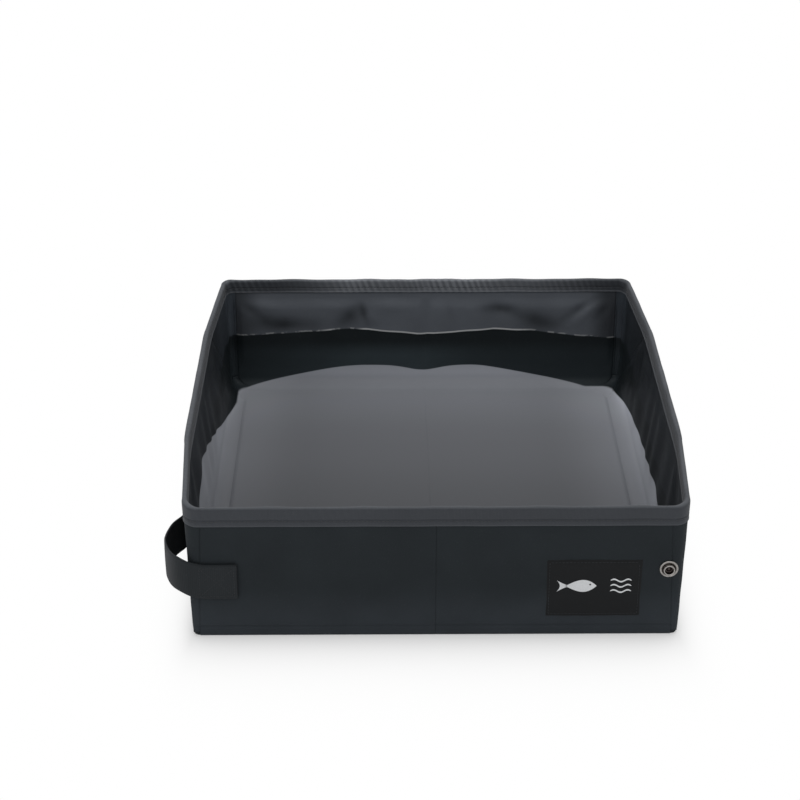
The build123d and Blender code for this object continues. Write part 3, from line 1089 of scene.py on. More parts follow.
def reflection_edge(x, y):
    """Height of the painted grey reflection's edge on the end walls, and on the sides.

    End walls: a level less a bell at the centre, and less a hyperbola to either side.
    Sides: a height times a power of the distance from the rear wall over that power plus a
    constant, falling again to the front corners.
    """
    left = 0.26 * (np.hypot(np.clip(-60 - x, 0, None), 40) - 40)
    right = 0.22 * (np.hypot(np.clip(x - 45, 0, None), 15) - 15)
    ends = 26.8 - 5.6 * bell(x, -3, 22) - left - right
    away = np.clip(205 - y, 0.01, None)
    left_side = 4 + 91 * away**2.6 / (away**2.6 + 175**2.6)
    right_side = 5 + 45 * away**1.7 / (away**1.7 + 110**1.7)
    to_front = smooth_step(-y, 60, 185)
    sides = np.where(x < 0, left_side, right_side) * (1 - to_front) + 5 * to_front
    return np.clip(ends, 4.6, None), np.clip(sides, 4.6, None)


def glint_height(x, y):
    """Height of the painted glint line and of the painted dark band's top: straight lines on the end walls,
    low waves on the sides.
    """
    on_ends = np.interp(x, GLINT_X, GLINT_Z) + 0.2 * np.sin(x / 5.1)
    return np.where(np.abs(y) > 195, on_ends, 60 + 1.5 * np.sin(y / 27) + 1.0 * np.sin(y / 9.3))


def painted_grey_light(x, y, z, on_end, t):
    """Painted light on the painted grey reflection: paler by squares of the distance near the walls, and up
    them, where shade falls.
    """
    tone = 0.64 + 0.36 * smooth_step(y, -40, 120) + 1.65 * np.clip((y - 90) / 115, 0, 1) ** 2
    tone = tone + 0.5 * np.clip((-y - 110) / 95, 0, 1) ** 2
    tone = tone * (1 + 0.62 * np.clip((np.abs(x) - 110) / 65, 0, 1.2) ** 2) * (1 + 0.1 * x / 180)
    rise = np.clip(z - t.floor_height - LINING_LIFT, 0, None) / 11
    up_side = np.where(x < 0, 1.5, 1.75) * (1 - np.exp(-(rise**1.6)))
    return tone * (1 + up_side * (1 - on_end) + 0.6 * smooth_step(z, 5, 19) * on_end)


def lining_values(points, depth, t, rear_wall=False, corner=False):
    """Values kept on a lining's mesh for its material.

    Heights above the painted grey reflection's edge and above the painted glint line,
    strength of the painted glint, painted shade of the hollows, painted light on the cloth above
    and below the glint line, and painted light on the grey. At a corner the end wall's painted light is
    scaled up to count for the side lining's darker colour.
    """
    x, y, z = points[..., 0], points[..., 1], points[..., 2]
    # Edge of the painted grey reflection, from its outlines on the end walls and on the sides
    ends, sides = reflection_edge(x, y)
    on_end = smooth_step(np.abs(y), 196, 212)
    edge = sides * (1 - on_end) + ends * on_end
    # Painted glint: drawn on the rear wall only, whole over part of it and broken elsewhere
    whole = smooth_step(x, -72, -60) * smooth_step(-x, -108, -92) + 0.8 * bell(x, -97, 8)
    line = (0.42 + 0.58 * whole) * (1.0 if rear_wall else 0.0) + 0 * x
    # Painted light: the sides' lining paler towards the rear; painted shade darkens the end walls' lining
    # towards the corners
    to_rear = smooth_step(y, 120, 195)
    side_light = 1 + np.where(x < 0, 1.5, 0.5) * to_rear
    end_light = 1 - 0.5 * smooth_step(-x, 160, 184) - 0.6 * smooth_step(x, 158, 180)
    end_light = end_light * (CORNER_LIGHT if corner else 1.0)
    # Painted light on the painted dark band: paler low on the end walls, and on the sides towards the rear
    mirrored_light = smooth_step(60 - z, 4, 24) * (1.9 + 3.6 * bell(x, -40, 80))
    # Painted shade: darker in the folds' hollows, and on the rear wall in patches and a painted shadow line
    # under the tape
    hollow = hollow_shade(depth)
    if rear_wall:
        for x0, z0, wide, tall, deep in HOLLOWS:
            hollow = hollow + deep * bell(x, x0, wide) * bell(z, z0, tall)
        hollow = hollow + 0.5 * bell(z, t.rim_height - TAPE_SHADOW, 0.9)
    return {
        "above_grey_edge": z - edge,
        "above_glint": z - glint_height(x, y),
        "glint_line": line,
        "glint_whole": whole,
        "hollow": np.clip(hollow, 0, 0.9),
        "upper_painted_light": side_light * (1 - on_end) + end_light * on_end,
        "low_painted_light": (1 + 0.8 * to_rear) * (1 - on_end) + (1.9 + mirrored_light) * on_end,
        "grey_light": painted_grey_light(x, y, z, on_end, t),
    }


def end_folds(x, z, end):
    """Drag folds of an end wall's lining: ridges and hollows along slanting lines."""
    depth = sum(ridge(x, z, *fold) for fold in (REAR_FOLDS if end == REAR else FRONT_FOLDS))
    return depth + 0.2 * rolling(x, z, 47.0, 0.7)


def hollow_shade(depth):
    """Painted shade of a hollow: none on ridges, rising with the hollow's depth."""
    return np.clip(-depth / 1.9, 0, 1) ** 1.2 * 0.5


def lining_profile(t):
    """Inset and height of a wall lining: flat, a quarter circle up, then straight."""
    reach = t.cove - t.wall
    flat = t.cove + np.array([1.3, 1.28, 0.6])
    turn = np.linspace(0, np.pi / 2, COVE_ROWS - len(flat))
    inset = np.concatenate([flat, t.cove - reach * np.sin(turn), np.full(60, t.wall)])
    low = t.floor_height + LINING_LIFT
    straight = np.linspace(low + reach, t.rim_height - 1, 61)[1:]
    return inset, np.concatenate([low + 0 * flat, low + reach * (1 - np.cos(turn)), straight])


class CLOTHTRAY_OT_linings(bpy.types.Operator):
    """Builds the lining of the walls, the corners and the floor"""

    bl_idname = "clothtray.linings"
    bl_label = "Linings"
    bl_options = {"REGISTER", "UNDO"}

    def execute(self, context):
        t, f = sizes(context.scene.tray_sizes), sizes(context.scene.fitting_sizes)
        colours = context.scene.tray_colours
        # A paler painted-light copy of the lining cloth on the end walls, and the darker one on the sides
        ends_cloth = lining_material("end lining", colours.lining_rear, colours, 0.15)
        sides_cloth = lining_material("side lining", colours.lining_side, colours, 0.15)
        profile = lining_profile(t)
        for word, side in SIDES:
            for end_word, end in ENDS:
                t = sizes(context.scene.tray_sizes, end)
                points, depth = end_lining(side, end, profile, t, f)
                values = lining_values(points, depth, t, rear_wall=end == REAR)
                name = f"{end_word}_lining_{word}"
                piece = cloth_piece(name, points, side * end > 0, ends_cloth, values, LINING_CLOTH)
                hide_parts(f"{end_word}_wall_lining_{word}")
                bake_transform(piece)
                declare_sheet(piece, points)
                whole, whole_depth = corner_lining(side, end, profile, t)
                for part, rows in (("lining", slice(COVE_ROWS - 1, None)), ("cove", slice(0, COVE_ROWS))):
                    points = whole[:, rows]
                    values = lining_values(points, whole_depth[:, rows], t, corner=True)
                    name = f"corner_{part}_{end_word}_{word}"
                    piece = cloth_piece(name, points, side * end > 0, sides_cloth, values, LINING_CLOTH)
                    declare_sheet(piece, points)
                    if part == "lining":
                        corner_blend(piece)
                    else:
                        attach(piece, f"base_{word}")
                        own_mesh(piece)
            points, depth = side_lining(side, profile, t)
            values = lining_values(points, depth, t)
            piece = cloth_piece(f"{word}_lining", points, side > 0, sides_cloth, values, LINING_CLOTH)
            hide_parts(f"{word}_wall_lining")
            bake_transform(piece)
            declare_sheet(piece, points)
            points = floor_sheet(side, t)
            values = lining_values(points, 0 * points[..., 0], t)
            # The whole floor sheet takes the painted grey reflection
            values["above_grey_edge"] = np.minimum(values["above_grey_edge"], -5)
            piece = cloth_piece(f"floor_sheet_{word}", points, side > 0, ends_cloth, values, LINING_CLOTH)
            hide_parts(f"floor_lining_{word}")
            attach(piece, f"base_{word}")
            declare_sheet(piece, points)
        return {"FINISHED"}


def end_lining(side, end, profile, t, f):
    """Lining of half an end wall with its drag folds, and how far each place is off the mean.

    The cloth stands off the board by its slack plus the folds, and never sinks into the
    board. It lies flat round the back of the press stud. At the crease it turns outward by
    a short return along the profile's normal.
    """
    share = np.concatenate([[0, 0.0006], np.linspace(0.009, 1, 109)])
    grid_share, grid_inset, grid_z = grids(share, *profile)
    points = front_points(grid_share, grid_z, grid_inset, t, t.crease_gap)
    free = band(grid_z, 20, 45, LINING_TOP, 14) * band(grid_share, 0, 0.05, 1, 0.035)
    if (side, end) == (RIGHT, FRONT):
        away = np.hypot(points[..., 0] - f.socket_x, grid_z - f.socket_z)
        free = free * (1 - np.exp(-((away / STUD_FLAT) ** 4)))
    depth = end_folds(side * points[..., 0], grid_z, end) * free
    points[..., 1] += np.clip(END_SLACK * free + depth, LINING_LIFT, None) - LINING_LIFT
    ahead = unit(np.gradient(np.stack(profile, -1), axis=0))
    back = points[:1].copy()
    back[0, :, 1] -= LINING_RETURN * ahead[:, 1]
    back[0, :, 2] += LINING_RETURN * ahead[:, 0]
    points, depth = np.concatenate([back, points]), np.concatenate([0 * depth[:1] - 2, depth])
    return mirrored(points, side, end), depth


def corner_lining(side, end, profile, t):
    """Lining of a soft corner, with upright gathers, and the gathers' depth."""
    grid_step, grid_inset, grid_z = grids(corner_steps(6, 14, 26), *profile)
    points = corner_points(grid_step, grid_z, grid_inset, t)
    free = np.sin(np.pi * np.clip(grid_step / 3, 0, 1)) ** 0.5 * band(grid_z, 16, 50, LINING_TOP, 12)
    gathers = 0.9 * np.sin(9.0 * grid_step + grid_z / 31 + side)
    depth = 0.6 * (free * (gathers + 0.3 * rolling(grid_z, 9 * grid_step, 33.0, side)))
    points[..., :2] += unit(CORNER_CENTRE - points[..., :2]) * depth[..., None]
    return mirrored(points, side, end), depth


def side_lining(side, profile, t):
    """Lining of a side wall with upright folds, and the folds' depth.

    The cloth stands off the board by its slack plus the folds, and never sinks into the board.
    """
    grid_share, grid_inset, grid_z = grids(np.linspace(0, 1, 150), *profile)
    points = side_points(grid_share, grid_z, grid_inset, t)
    free = band(grid_z, 16, 50, LINING_TOP, 12) * band(grid_share, 0, 0.04, 1, 0.04)
    y = points[..., 1]
    folds = np.sin(y / 6.3 + 1.2 * np.sin(y / 23) + 0.02 * grid_z)
    depth = 0.75 * (folds + 0.6 * np.sin(y / 14.1 + grid_z / 40 + side)) * free
    points[..., 0] -= np.clip(SIDE_SLACK * free + depth, LINING_LIFT, None) - LINING_LIFT
    return mirrored(points, side, FRONT), depth


def floor_sheet(side, t):
    """Flat floor lining of one half, from the crease to a little under the foot of the cove.

    Rows run straight across from the crease to the outline's reach at each y. The corners
    follow the outline's quarter circles. At the crease the sheet rolls down and back.
    """
    line = outline(t.cove - 1.6, t.floor_height, t)
    corner = np.flatnonzero(line[:, 1] > line[0, 1] + 1e-6)[0] - 1
    line = line[corner : len(line) - corner]
    share = np.concatenate([[0, 0.0006, 0.003, 0.008, 0.015], np.linspace(0.03, 1, 26)])
    points = np.repeat(line[:, None], len(share), 1)
    points[..., 0] = t.crease_gap + share * (line[:, :1] - t.crease_gap)
    points[..., 2] = t.floor_height - 0.12 * bell(points[..., 0], 0, 0.9)
    back = points[:, :1].copy()
    back[..., 2] -= 1.2
    return mirrored(np.concatenate([back, points], 1), side, FRONT)


# Rim tapes

# Rows of the tape's profile on each face, and over the rim
TAPE_ROWS, TAPE_TURN = 30, 13
# Height at which a corner tape's outward directions are taken
TAPE_MIDDLE = 111.0
# Share of the gathers left on the side tapes, where the corner tapes fold over them
SIDE_THIN = 0.4


def tape_profile(t, tape):
    """Closed profile of the folded tape as inset and height.

    Up the outside, over the rim on a half ellipse, down the inside, then back through
    the channel that the wall stands in. The first point is repeated at the end.
    """
    low, top = t.rim_height - tape.drop + 0.3, t.rim_height
    low_in = t.rim_height - tape.inner_drop
    outer, inner = -tape.thickness, t.wall + tape.thickness
    middle, half = (outer + inner) / 2, (inner - outer) / 2
    turn = np.linspace(np.pi, 0, TAPE_TURN)
    rise = np.linspace(low + 0.2, top - 1.7, TAPE_ROWS)
    fall = np.linspace(top - 1.7, low_in + 0.2, TAPE_ROWS)
    over = middle + half * np.cos(turn)
    inset = [outer + 0.15, *np.full(TAPE_ROWS, outer), *over, *np.full(TAPE_ROWS, inner), inner - 0.15]
    z = [low, *rise, *(top - 1.6 + 2.2 * np.sin(turn)), *fall, low_in]
    inner_face, outer_face = inner - tape.thickness, outer + tape.thickness
    inset += [inner_face, inner_face, outer_face, outer_face, outer + 0.15]
    z += [low_in + 0.1, top - 1.2, top - 1.2, low + 0.1, low]
    return np.array(inset), np.array(z)


def gather(x, y, z, inside, t, tape):
    """How far the tape's gathers stand out, its stitch groove, and the tape's painted light.

    Gathers are a raised sine along the tape whose phase wanders and leans with the height.
    They are strongest on the middle of the rear wall, where the tape is also painted palest, as a painted
    reflection.
    """
    on_side, on_rear = np.abs(y) < 205, y > 205
    middle = smooth_step(x, -95, -55) * smooth_step(-x, -110, -60)
    strong = np.where(y > 0, 0.25 + 0.75 * middle, 0.05) * (1 - 0.7 * bell(x, 0, 2.5))
    strong = np.where(on_side, 0.2, strong)
    low = t.rim_height - tape.drop
    run = np.where(on_side, y, x)
    phase = 1.9 * np.sin(run / 23) + 1.2 * np.sin(run / 9.7 + 1) + 0.35 * (z - low)
    waves = 0.5 + 0.5 * np.sin(2 * np.pi * run / tape.gather_pitch + phase)
    waves = waves * (0.7 + 0.3 * np.sin(run / 17))
    share = 0.3 + 0.7 * bell(z, low + 8, 6)
    step = t.rim_height - np.where(inside, tape.step_down, tape.outer_step)
    groove = 1.2 * bell(z, step, 0.6) + 0.7 * bell(z, low + tape.stitch_rise, 0.6) * ~inside
    # Painted reflection: the middle of the rear tape is painted paler. Painted highlight on the gathers'
    # tops, and painted shade in the grooves, which lack the slight paleness elsewhere.
    pale = 0.75 * smooth_step(x, -160, -40) * smooth_step(-x, -190, -40) + 0.15 * bell(x, -72, 14)
    painted_light = 0.06 * (1 - np.clip(groove, 0, 1)) + np.where(on_rear, pale, 0)
    painted_light = painted_light + strong * (0.75 * waves**1.5 - 0.25) * np.where(on_rear, 1.0, 0.4)
    return tape.pucker * strong * share * waves, groove, painted_light


def shaped_tape(points, inset, outward, thin, t, tape, side, end):
    """Move a tape's grid outward from the wall by its gathers, up and down by its wavy top, and give its
    painted light.

    Thin is the share of the gathers that is left, as on the corners. The rows of the
    channel inside the tape, before the repeated first one, stay where they are.
    """
    real = mirrored(points, side, end)
    inside = inset > t.wall / 2
    wave, groove, painted_light = gather(real[..., 0], real[..., 1], points[..., 2], inside, t, tape)
    face = np.clip((t.wall / 2 - inset) / 1.1, -1, 1)
    hidden = np.zeros_like(inset)
    hidden[:, -5:-1] = 1
    end_height = t.rim_height - np.where(inside, tape.inner_drop, tape.drop)
    low_edge = bell(points[..., 2], end_height + 0.5, 1.0)
    push = (wave + 0.25 * low_edge - 0.45 * groove) * face * thin * (1 - hidden)
    points = points.copy()
    points[..., :2] += outward * push[..., None]
    swell = 0.30 * rolling(real[..., 0], real[..., 1], 83.0, 0.5)
    swell = swell + 0.16 * rolling(real[..., 0], real[..., 1], 31.0, 2.0)
    rise = smooth_step(points[..., 2], t.rim_height - tape.drop, t.rim_height)
    points[..., 2] += (swell - 0.35) * rise + 0.25 * (swell - 0.2) * (1 - rise)
    # Painted highlight along the top of the rim and along the tape's lower edges, strongest on the inner
    # edge
    top = 0.17 * smooth_step(points[..., 2], t.rim_height - 1.2, t.rim_height)
    edge = np.where(inside, 0.5, 0.12) * low_edge
    return points, np.clip(painted_light + top + edge, 0, 1) * (1 - hidden)


def corner_tape(profile, t):
    """Grid of a corner's tape, its insets, its outward directions and its share of thickness.

    The tape is thinner along the gusset, which folds close to the side wall's tape.
    """
    step, inset, z = grids(corner_steps(6, 24, 92), *profile)
    middle = corner_points(step, TAPE_MIDDLE + 0 * step, 0 * step, t)
    along = np.gradient(middle, axis=0)[..., :2]
    outward = unit(np.stack([along[..., 1], -along[..., 0]], -1))
    thin = 1 - 0.85 * smooth_step(step, 1.6, 2.2) * (1 - smooth_step(step, 2.9, 3))
    return corner_points(step, z, np.where(inset < 0, inset * thin, inset), t), inset, outward, thin


def tape_piece(name, points, inset, outward, context, side, end, thin=1.0):
    """A tape with its two stitch rows in the same mesh."""
    t, tape = sizes(context.scene.tray_sizes, end), sizes(context.scene.tape_sizes)
    colours = context.scene.tray_colours
    shaped, painted_light = shaped_tape(points, inset, outward, thin, t, tape, side, end)
    uv = np.stack([walk(shaped, 0), walk(shaped, 1)], -1)
    final = mirrored(shaped, side, end)
    parts, materials = [sheet_data(final, side * end < 0, uv)], [tape_cloth(colours)]
    outer_row = t.rim_height - tape.drop + tape.stitch_rise
    inner_row = t.rim_height - tape.step_down
    for start, at, sign in ((1, outer_row, 1), (1 + TAPE_ROWS + TAPE_TURN, inner_row, -1)):
        heights = points[0, start : start + TAPE_ROWS, 2]
        row = start + int(np.argmin(np.abs(heights - at)))
        line = shaped[:, row].copy()
        line[:, :2] += sign * 0.12 * outward[:, row]
        place, along = along_path(line, tape.stitch_pitch)
        at_place, at_line = place @ [1, 1, 0], line @ [1, 1, 0]
        out = np.stack([np.interp(at_place, at_line, outward[:, row, k]) for k in (0, 1)], -1)
        out = np.concatenate([sign * out, np.zeros((len(out), 1))], -1)
        place, along, out = (mirrored(v, side, end) for v in (place, along, out))
        parts.append(capsules(place, along, out, tape.stitch_length, tape.thread))
        materials.append(thread_cloth(colours))
    return make_piece(name, parts, materials, {"painted_light": painted_light}, merge=True)


class CLOTHTRAY_OT_rim_tapes(bpy.types.Operator):
    """Builds the ten lengths of tape over the rim, with their stitches"""

    bl_idname = "clothtray.rim_tapes"
    bl_label = "Rim Tapes"
    bl_options = {"REGISTER", "UNDO"}

    def execute(self, context):
        t, tape = sizes(context.scene.tray_sizes), sizes(context.scene.tape_sizes)
        profile = tape_profile(t, tape)
        for word, side in SIDES:
            for end_word, end in ENDS:
                t = sizes(context.scene.tray_sizes, end)
                share, inset, z = grids(np.linspace(0, 1, 200), *profile)
                points = front_points(share, z, inset, t, t.crease_gap)
                outward = np.broadcast_to([0.0, -1.0], (*share.shape, 2))
                piece = tape_piece(f"{end_word}_tape_{word}", points, inset, outward, context, side, end)
                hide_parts(f"{end_word}_wall_rim_tape_{word}")
                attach(piece, f"{end_word}_wall_{word}")
                points, inset, outward, thin = corner_tape(profile, t)
                name = f"corner_tape_{end_word}_{word}"
                piece = tape_piece(name, points, inset, outward, context, side, end, thin)
                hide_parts(f"gusset_tape_{end_word}_{word}")
                corner_blend(piece)
            share, inset, z = grids(np.linspace(0, 1, 220), *profile)
            points = side_points(share, z, inset, t)
            outward = np.broadcast_to([1.0, 0.0], (*share.shape, 2))
            piece = tape_piece(f"{word}_tape", points, inset, outward, context, side, FRONT, SIDE_THIN)
            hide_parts(f"{word}_wall_rim_tape")
            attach(piece, f"{word}_wall")
        return {"FINISHED"}


# Label

# Distance of the sewing from the label's edge, and how far the print stands before the wall
LABEL_HEM, PRINT_LIFT, EYE_LIFT = 2.4, 0.80, 0.87


def strip(u, v, across, half, middle):
    """A printed shape as a strip: a middle line with a half width at each place across."""
    return np.stack([across + 0 * v, middle + v * half, u * 0], -1)


def closed_curve(x, z):
    """A closed outline of plan points, the first repeated at the end."""
    line = np.stack([x, z], -1)
    return np.concatenate([line, line[:1]])


def rounded_box(left, right, low, high, radius):
    """Outline of a rectangle with round corners: four quarter circles joined by straight runs."""
    turn = np.linspace(0, np.pi / 2, 7)
    spots = [(right - radius, high - radius, 0), (left + radius, high - radius, 1)]
    spots += [(left + radius, low + radius, 2), (right - radius, low + radius, 3)]
    x = np.concatenate([cx + radius * np.cos(turn + k * np.pi / 2) for cx, _, k in spots])
    z = np.concatenate([cz + radius * np.sin(turn + k * np.pi / 2) for _, cz, k in spots])
    return closed_curve(x, z)


class CLOTHTRAY_OT_label(bpy.types.Operator):
    """Builds the sewn label with a plain fish and waves"""

    bl_idname = "clothtray.label"
    bl_label = "Label"
    bl_options = {"REGISTER", "UNDO"}

    def execute(self, context):
        t, f = sizes(context.scene.tray_sizes), sizes(context.scene.fitting_sizes)
        colours = context.scene.tray_colours
        front = -t.half_depth
        finish = {"roughness": 0.6, "specular": 0.14, "lint": 0.01}
        cloth = woven_material("label cloth", colours.label, 1400.0, 0.05, **finish)
        ink = woven_material("label print", colours.print, 1400.0, 0.04, roughness=0.55, lint=0.0)
        parts = [sheet_data(self.patch(f, front), False), self.stitches(f, front)]
        materials = [cloth, dark_thread_cloth(colours)]
        for shape, kind in self.design(f):
            lift = PRINT_LIFT if kind == "print" else EYE_LIFT
            parts.append(sheet_data(shape[..., [0, 2, 1]] + [0, front - lift, 0], False))
            materials.append(ink if kind == "print" else cloth)
        piece = make_piece("sewn_label", parts, materials)
        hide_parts("label_patch")
        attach(piece, "front_wall_right")
        return {"FINISHED"}

    @staticmethod
    def patch(f, front):
        """Cloth of the label: raised by an S curve from its edge, with a groove along the sewing."""
        u, v = np.meshgrid(np.linspace(0, 1, 70), np.linspace(0, 1, 50), indexing="ij")
        x = f.label_left + u * (f.label_right - f.label_left)
        z = f.label_low + v * (f.label_high - f.label_low)
        near_end = np.minimum(x - f.label_left, f.label_right - x)
        near = np.minimum(near_end, np.minimum(z - f.label_low, f.label_high - z))
        raised = 0.85 * smooth_step(near, -0.2, 0.9) - 0.3 * bell(near, LABEL_HEM, 0.7)
        raised = raised + 0.06 * rolling(x, z, 19.0, 0.2)
        return np.stack([x, front + 0.25 - raised, z], -1)

    @staticmethod
    def stitches(f, front):
        """Stitches along the label's hem."""
        across = (f.label_left + LABEL_HEM, f.label_right - LABEL_HEM)
        path = rounded_box(*across, f.label_low + LABEL_HEM, f.label_high - LABEL_HEM, 0.8)
        line = np.stack([path[:, 0], np.full(len(path), front - 0.45), path[:, 1]], -1)
        place, along = along_path(line, 2.9)
        return capsules(place, along, np.broadcast_to([0.0, -1.0, 0.0], place.shape), 2.2, 0.4)

    @staticmethod
    def design(f):
        """A plain fish with its eye, and three short waves beside it, as strips.

        Body: half height is a sine of a power of the length. Tail: half height grows with
        the length, and its end is notched by a parabola. Wave: even width about a sine.
        """
        cx, cz = f.label_left + 26.0, (f.label_low + f.label_high) / 2 + 2.5
        u, v = np.meshgrid(np.linspace(0, 1, 40), np.linspace(-1, 1, 15), indexing="ij")
        half = 5.6 * np.sin(np.pi * np.clip(u, 0.004, 0.996) ** 1.25) ** 0.8
        body = strip(u, v, cx - 11.0 + 25.0 * u, half, cz)
        notch = 2.6 * (1 - v**2) * u
        tail = strip(u, v, cx - 9.6 - 8.2 * u + notch, 0.9 + 4.4 * u**1.15, cz)
        round_x, round_z = u * np.cos(np.pi * v), u * np.sin(np.pi * v)
        eye = np.stack([cx + 9.0 + 0.75 * round_x, cz + 1.3 + 0.75 * round_z, 0 * u], -1)
        wave_half = 0.7 * np.sqrt(np.clip(1 - (2 * u - 1) ** 8, 0.002, 1))
        waves = []
        for k in range(3):
            middle = cz + 5.0 - 5.0 * k + 1.15 * np.sin(3 * np.pi * u)
            waves.append((strip(u, v, cx + 25.0 + 17.0 * u, wave_half, middle), "print"))
        return [(body, "print"), (tail[::-1], "print"), (eye[:, ::-1], "eye"), *waves]


# Strap and press stud

# Distance of the sewn strap's middle line before the front face, and its edge's half round
STRAP_OFF, STRAP_EDGE = 1.9, 0.7
DARK_NICKEL = (0.055, 0.045, 0.042)
# Rings of the socket as radius and height before the front face
FLANGE = ((7.3, -0.3), (7.5, 0.2), (7.45, 0.8), (7.1, 1.2), (6.4, 1.3), (5.8, 1.15), (5.5, 0.7))
TROUGH = ((5.5, 0.7), (5.4, 0.4), (5.15, 0.3), (4.9, 0.35), (4.75, 0.7))
COLLAR = ((4.75, 0.7), (4.7, 1.8), (4.6, 2.9), (4.4, 3.4), (4.0, 3.6), (3.6, 3.45), (3.4, 3.0))
CUP = ((3.4, 3.0), (3.3, 1.8), (3.2, 0.6), (2.9, 0.3), (1.6, 0.25), (1.5, 0.9), (1.0, 1.2), (0.01, 1.25))


def strap_line(f, t):
    """Middle line of the strap from its sewn end round the corner to its tip.

    A Catmull-Rom curve through a few plan points: each span is a cubic of its four
    neighbours. The strap rises a little where it leaves the corner.
    """
    solid_low, solid_high = (np.array(v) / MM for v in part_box("strap_webbing"))
    bow, tip_y = solid_low[0] + 2.3, solid_high[1]
    beside = -(side_x(-150.0, 53.0, t) + 4.2)
    front = -t.half_depth - STRAP_OFF
    plan = [(-150.0, front), (-157.8, front), (-170.0, front - 0.1), (-182.0, front - 0.1)]
    plan += [(-190.5, front), (-198.5, front + 0.9), (-208.0, front + 7.5), (bow + 3.0, front + 19.0)]
    plan += [(bow, front + 34.0), (bow + 3.5, front + 54.0), (bow + 11.0, front + 72.0)]
    plan += [(beside + 0.4, front + 88.0), (beside, front + 112.0), (beside, tip_y), (beside, tip_y + 12.0)]
    plan = np.array(plan)
    s = np.linspace(0, 1, 13)[:-1, None, None]
    a, b, c, d = plan[:-3], plan[1:-2], plan[2:-1], plan[3:]
    curve = 2 * b + (c - a) * s + (2 * a - 5 * b + 4 * c - d) * s**2 + (3 * b - 3 * c + d - a) * s**3
    curve = np.concatenate([(0.5 * curve).transpose(1, 0, 2).reshape(-1, 2), plan[-2:-1]])
    distance = walk(curve, 0)
    even = np.linspace(0, distance[-1], 240)
    curve = np.stack([np.interp(even, distance, curve[:, k]) for k in (0, 1)], -1)
    return curve, f.strap_lift * smooth_step(even, 24, 52) * (1 - smooth_step(even, 100, 150)), even


class CLOTHTRAY_OT_strap(bpy.types.Operator):
    """Builds the webbing strap with its sewn end and folded tip"""

    bl_idname = "clothtray.strap"
    bl_label = "Strap"
    bl_options = {"REGISTER", "UNDO"}

    def execute(self, context):
        t, f = sizes(context.scene.tray_sizes), sizes(context.scene.fitting_sizes)
        colours = context.scene.tray_colours
        finish = {"lit": colours.webbing_pale, "roughness": 0.8, "specular": 0.22}
        web = woven_material("strap webbing", colours.webbing, 1300.0, 0.12, ribs=620.0, **finish)
        points, uv, even = self.webbing(t, f)
        parts, materials = [sheet_data(points, True, uv)], [web]
        for cap_row, flip in ((0, False), (-1, True)):
            ring = points[cap_row]
            cap = ring[None] + np.linspace(0, 0.999, 4)[:, None, None] * (ring.mean(0) - ring)[None]
            parts.append(sheet_data(cap, flip))
            materials.append(web)
        parts.append(self.box_stitches(t, f))
        materials.append(dark_thread_cloth(colours))
        # Painted highlight: paler where the webbing bends round the corner
        bow = smooth_step(even, 42, 62) * (1 - smooth_step(even, 95, 125))
        lit = {"painted_light": np.broadcast_to(bow[:, None], points.shape[:2])}
        piece = make_piece("webbing_strap", parts, materials, lit, merge=True)
        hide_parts("strap_webbing", "strap_sewn_end")
        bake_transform(piece)
        return {"FINISHED"}

    @staticmethod
    def webbing(t, f):
        """Grid of the webbing, its UV and the length along it.

        A flat section with half-round edges, cupped by a parabola, is carried along the
        middle line. It is thicker where it is sewn and where its tip is folded back.
        """
        curve, lift, even = strap_line(f, t)
        along = unit(np.gradient(curve, axis=0))
        out = np.stack([-along[:, 1], along[:, 0]], -1)
        out = np.where((out @ [-1.0, -1.0])[:, None] < 0, -out, out)
        half, thick = f.strap_width / 2, f.strap_thickness / 2
        turn = np.linspace(-np.pi / 2, np.pi / 2, 7)
        flat = half - STRAP_EDGE
        rise = np.linspace(-flat, flat, 21)
        cup = 0.25 * (1 - (rise / half) ** 2)
        round_edge = STRAP_EDGE * np.cos(turn)
        height = np.concatenate([rise, flat + round_edge[::-1], rise[::-1], -flat - round_edge])
        edges = thick * np.sin(turn)
        depth = np.concatenate([thick + cup, edges[::-1], -thick + cup[::-1], edges])
        height, depth = np.append(height, height[0]), np.append(depth, depth[0])
        ends = np.minimum(smooth_step(even, 0, 0.8), smooth_step(even[-1] - even, 0, 0.8))
        tip_fold = 1 + 0.9 * smooth_step(even, even[-1] - 19.5, even[-1] - 18.0)
        sewn = 1 + 0.35 * (1 - smooth_step(even, 32, 35))
        depth_grid = depth[None] * ((0.35 + 0.65 * ends) * tip_fold * sewn)[:, None]
        z = f.strap_low + half + lift[:, None] + height[None] * (0.985 + 0.015 * ends)[:, None]
        plan = curve[:, None] + out[:, None] * depth_grid[..., None]
        around = np.cumsum(np.abs(np.diff(height, prepend=height[0])))
        uv = np.stack([np.broadcast_to(even[:, None], z.shape), np.broadcast_to(around, z.shape)], -1)
        return np.concatenate([plan, z[..., None]], -1), uv, even

    @staticmethod
    def box_stitches(t, f):
        """Stitches of the sewn end: a rectangle with its two diagonals."""
        left, right = -188.0, -160.5
        low, high = f.strap_low + 3.0, f.strap_low + f.strap_width - 3.0
        front = -t.half_depth - STRAP_OFF - 1.35 * f.strap_thickness / 2 - 0.25
        runs = [rounded_box(left, right, low, high, 0.6)]
        runs += [np.linspace((left, low), (right, high), 20), np.linspace((left, high), (right, low), 20)]
        place, along = [], []
        for run in runs:
            line = np.stack([run[:, 0], np.full(len(run), front), run[:, 1]], -1)
            spot, way = along_path(line, 2.7)
            place.append(spot)
            along.append(way)
        place, along = np.concatenate(place), np.concatenate(along)
        return capsules(place, along, np.broadcast_to([0.0, -1.0, 0.0], place.shape), 2.0, 0.5)


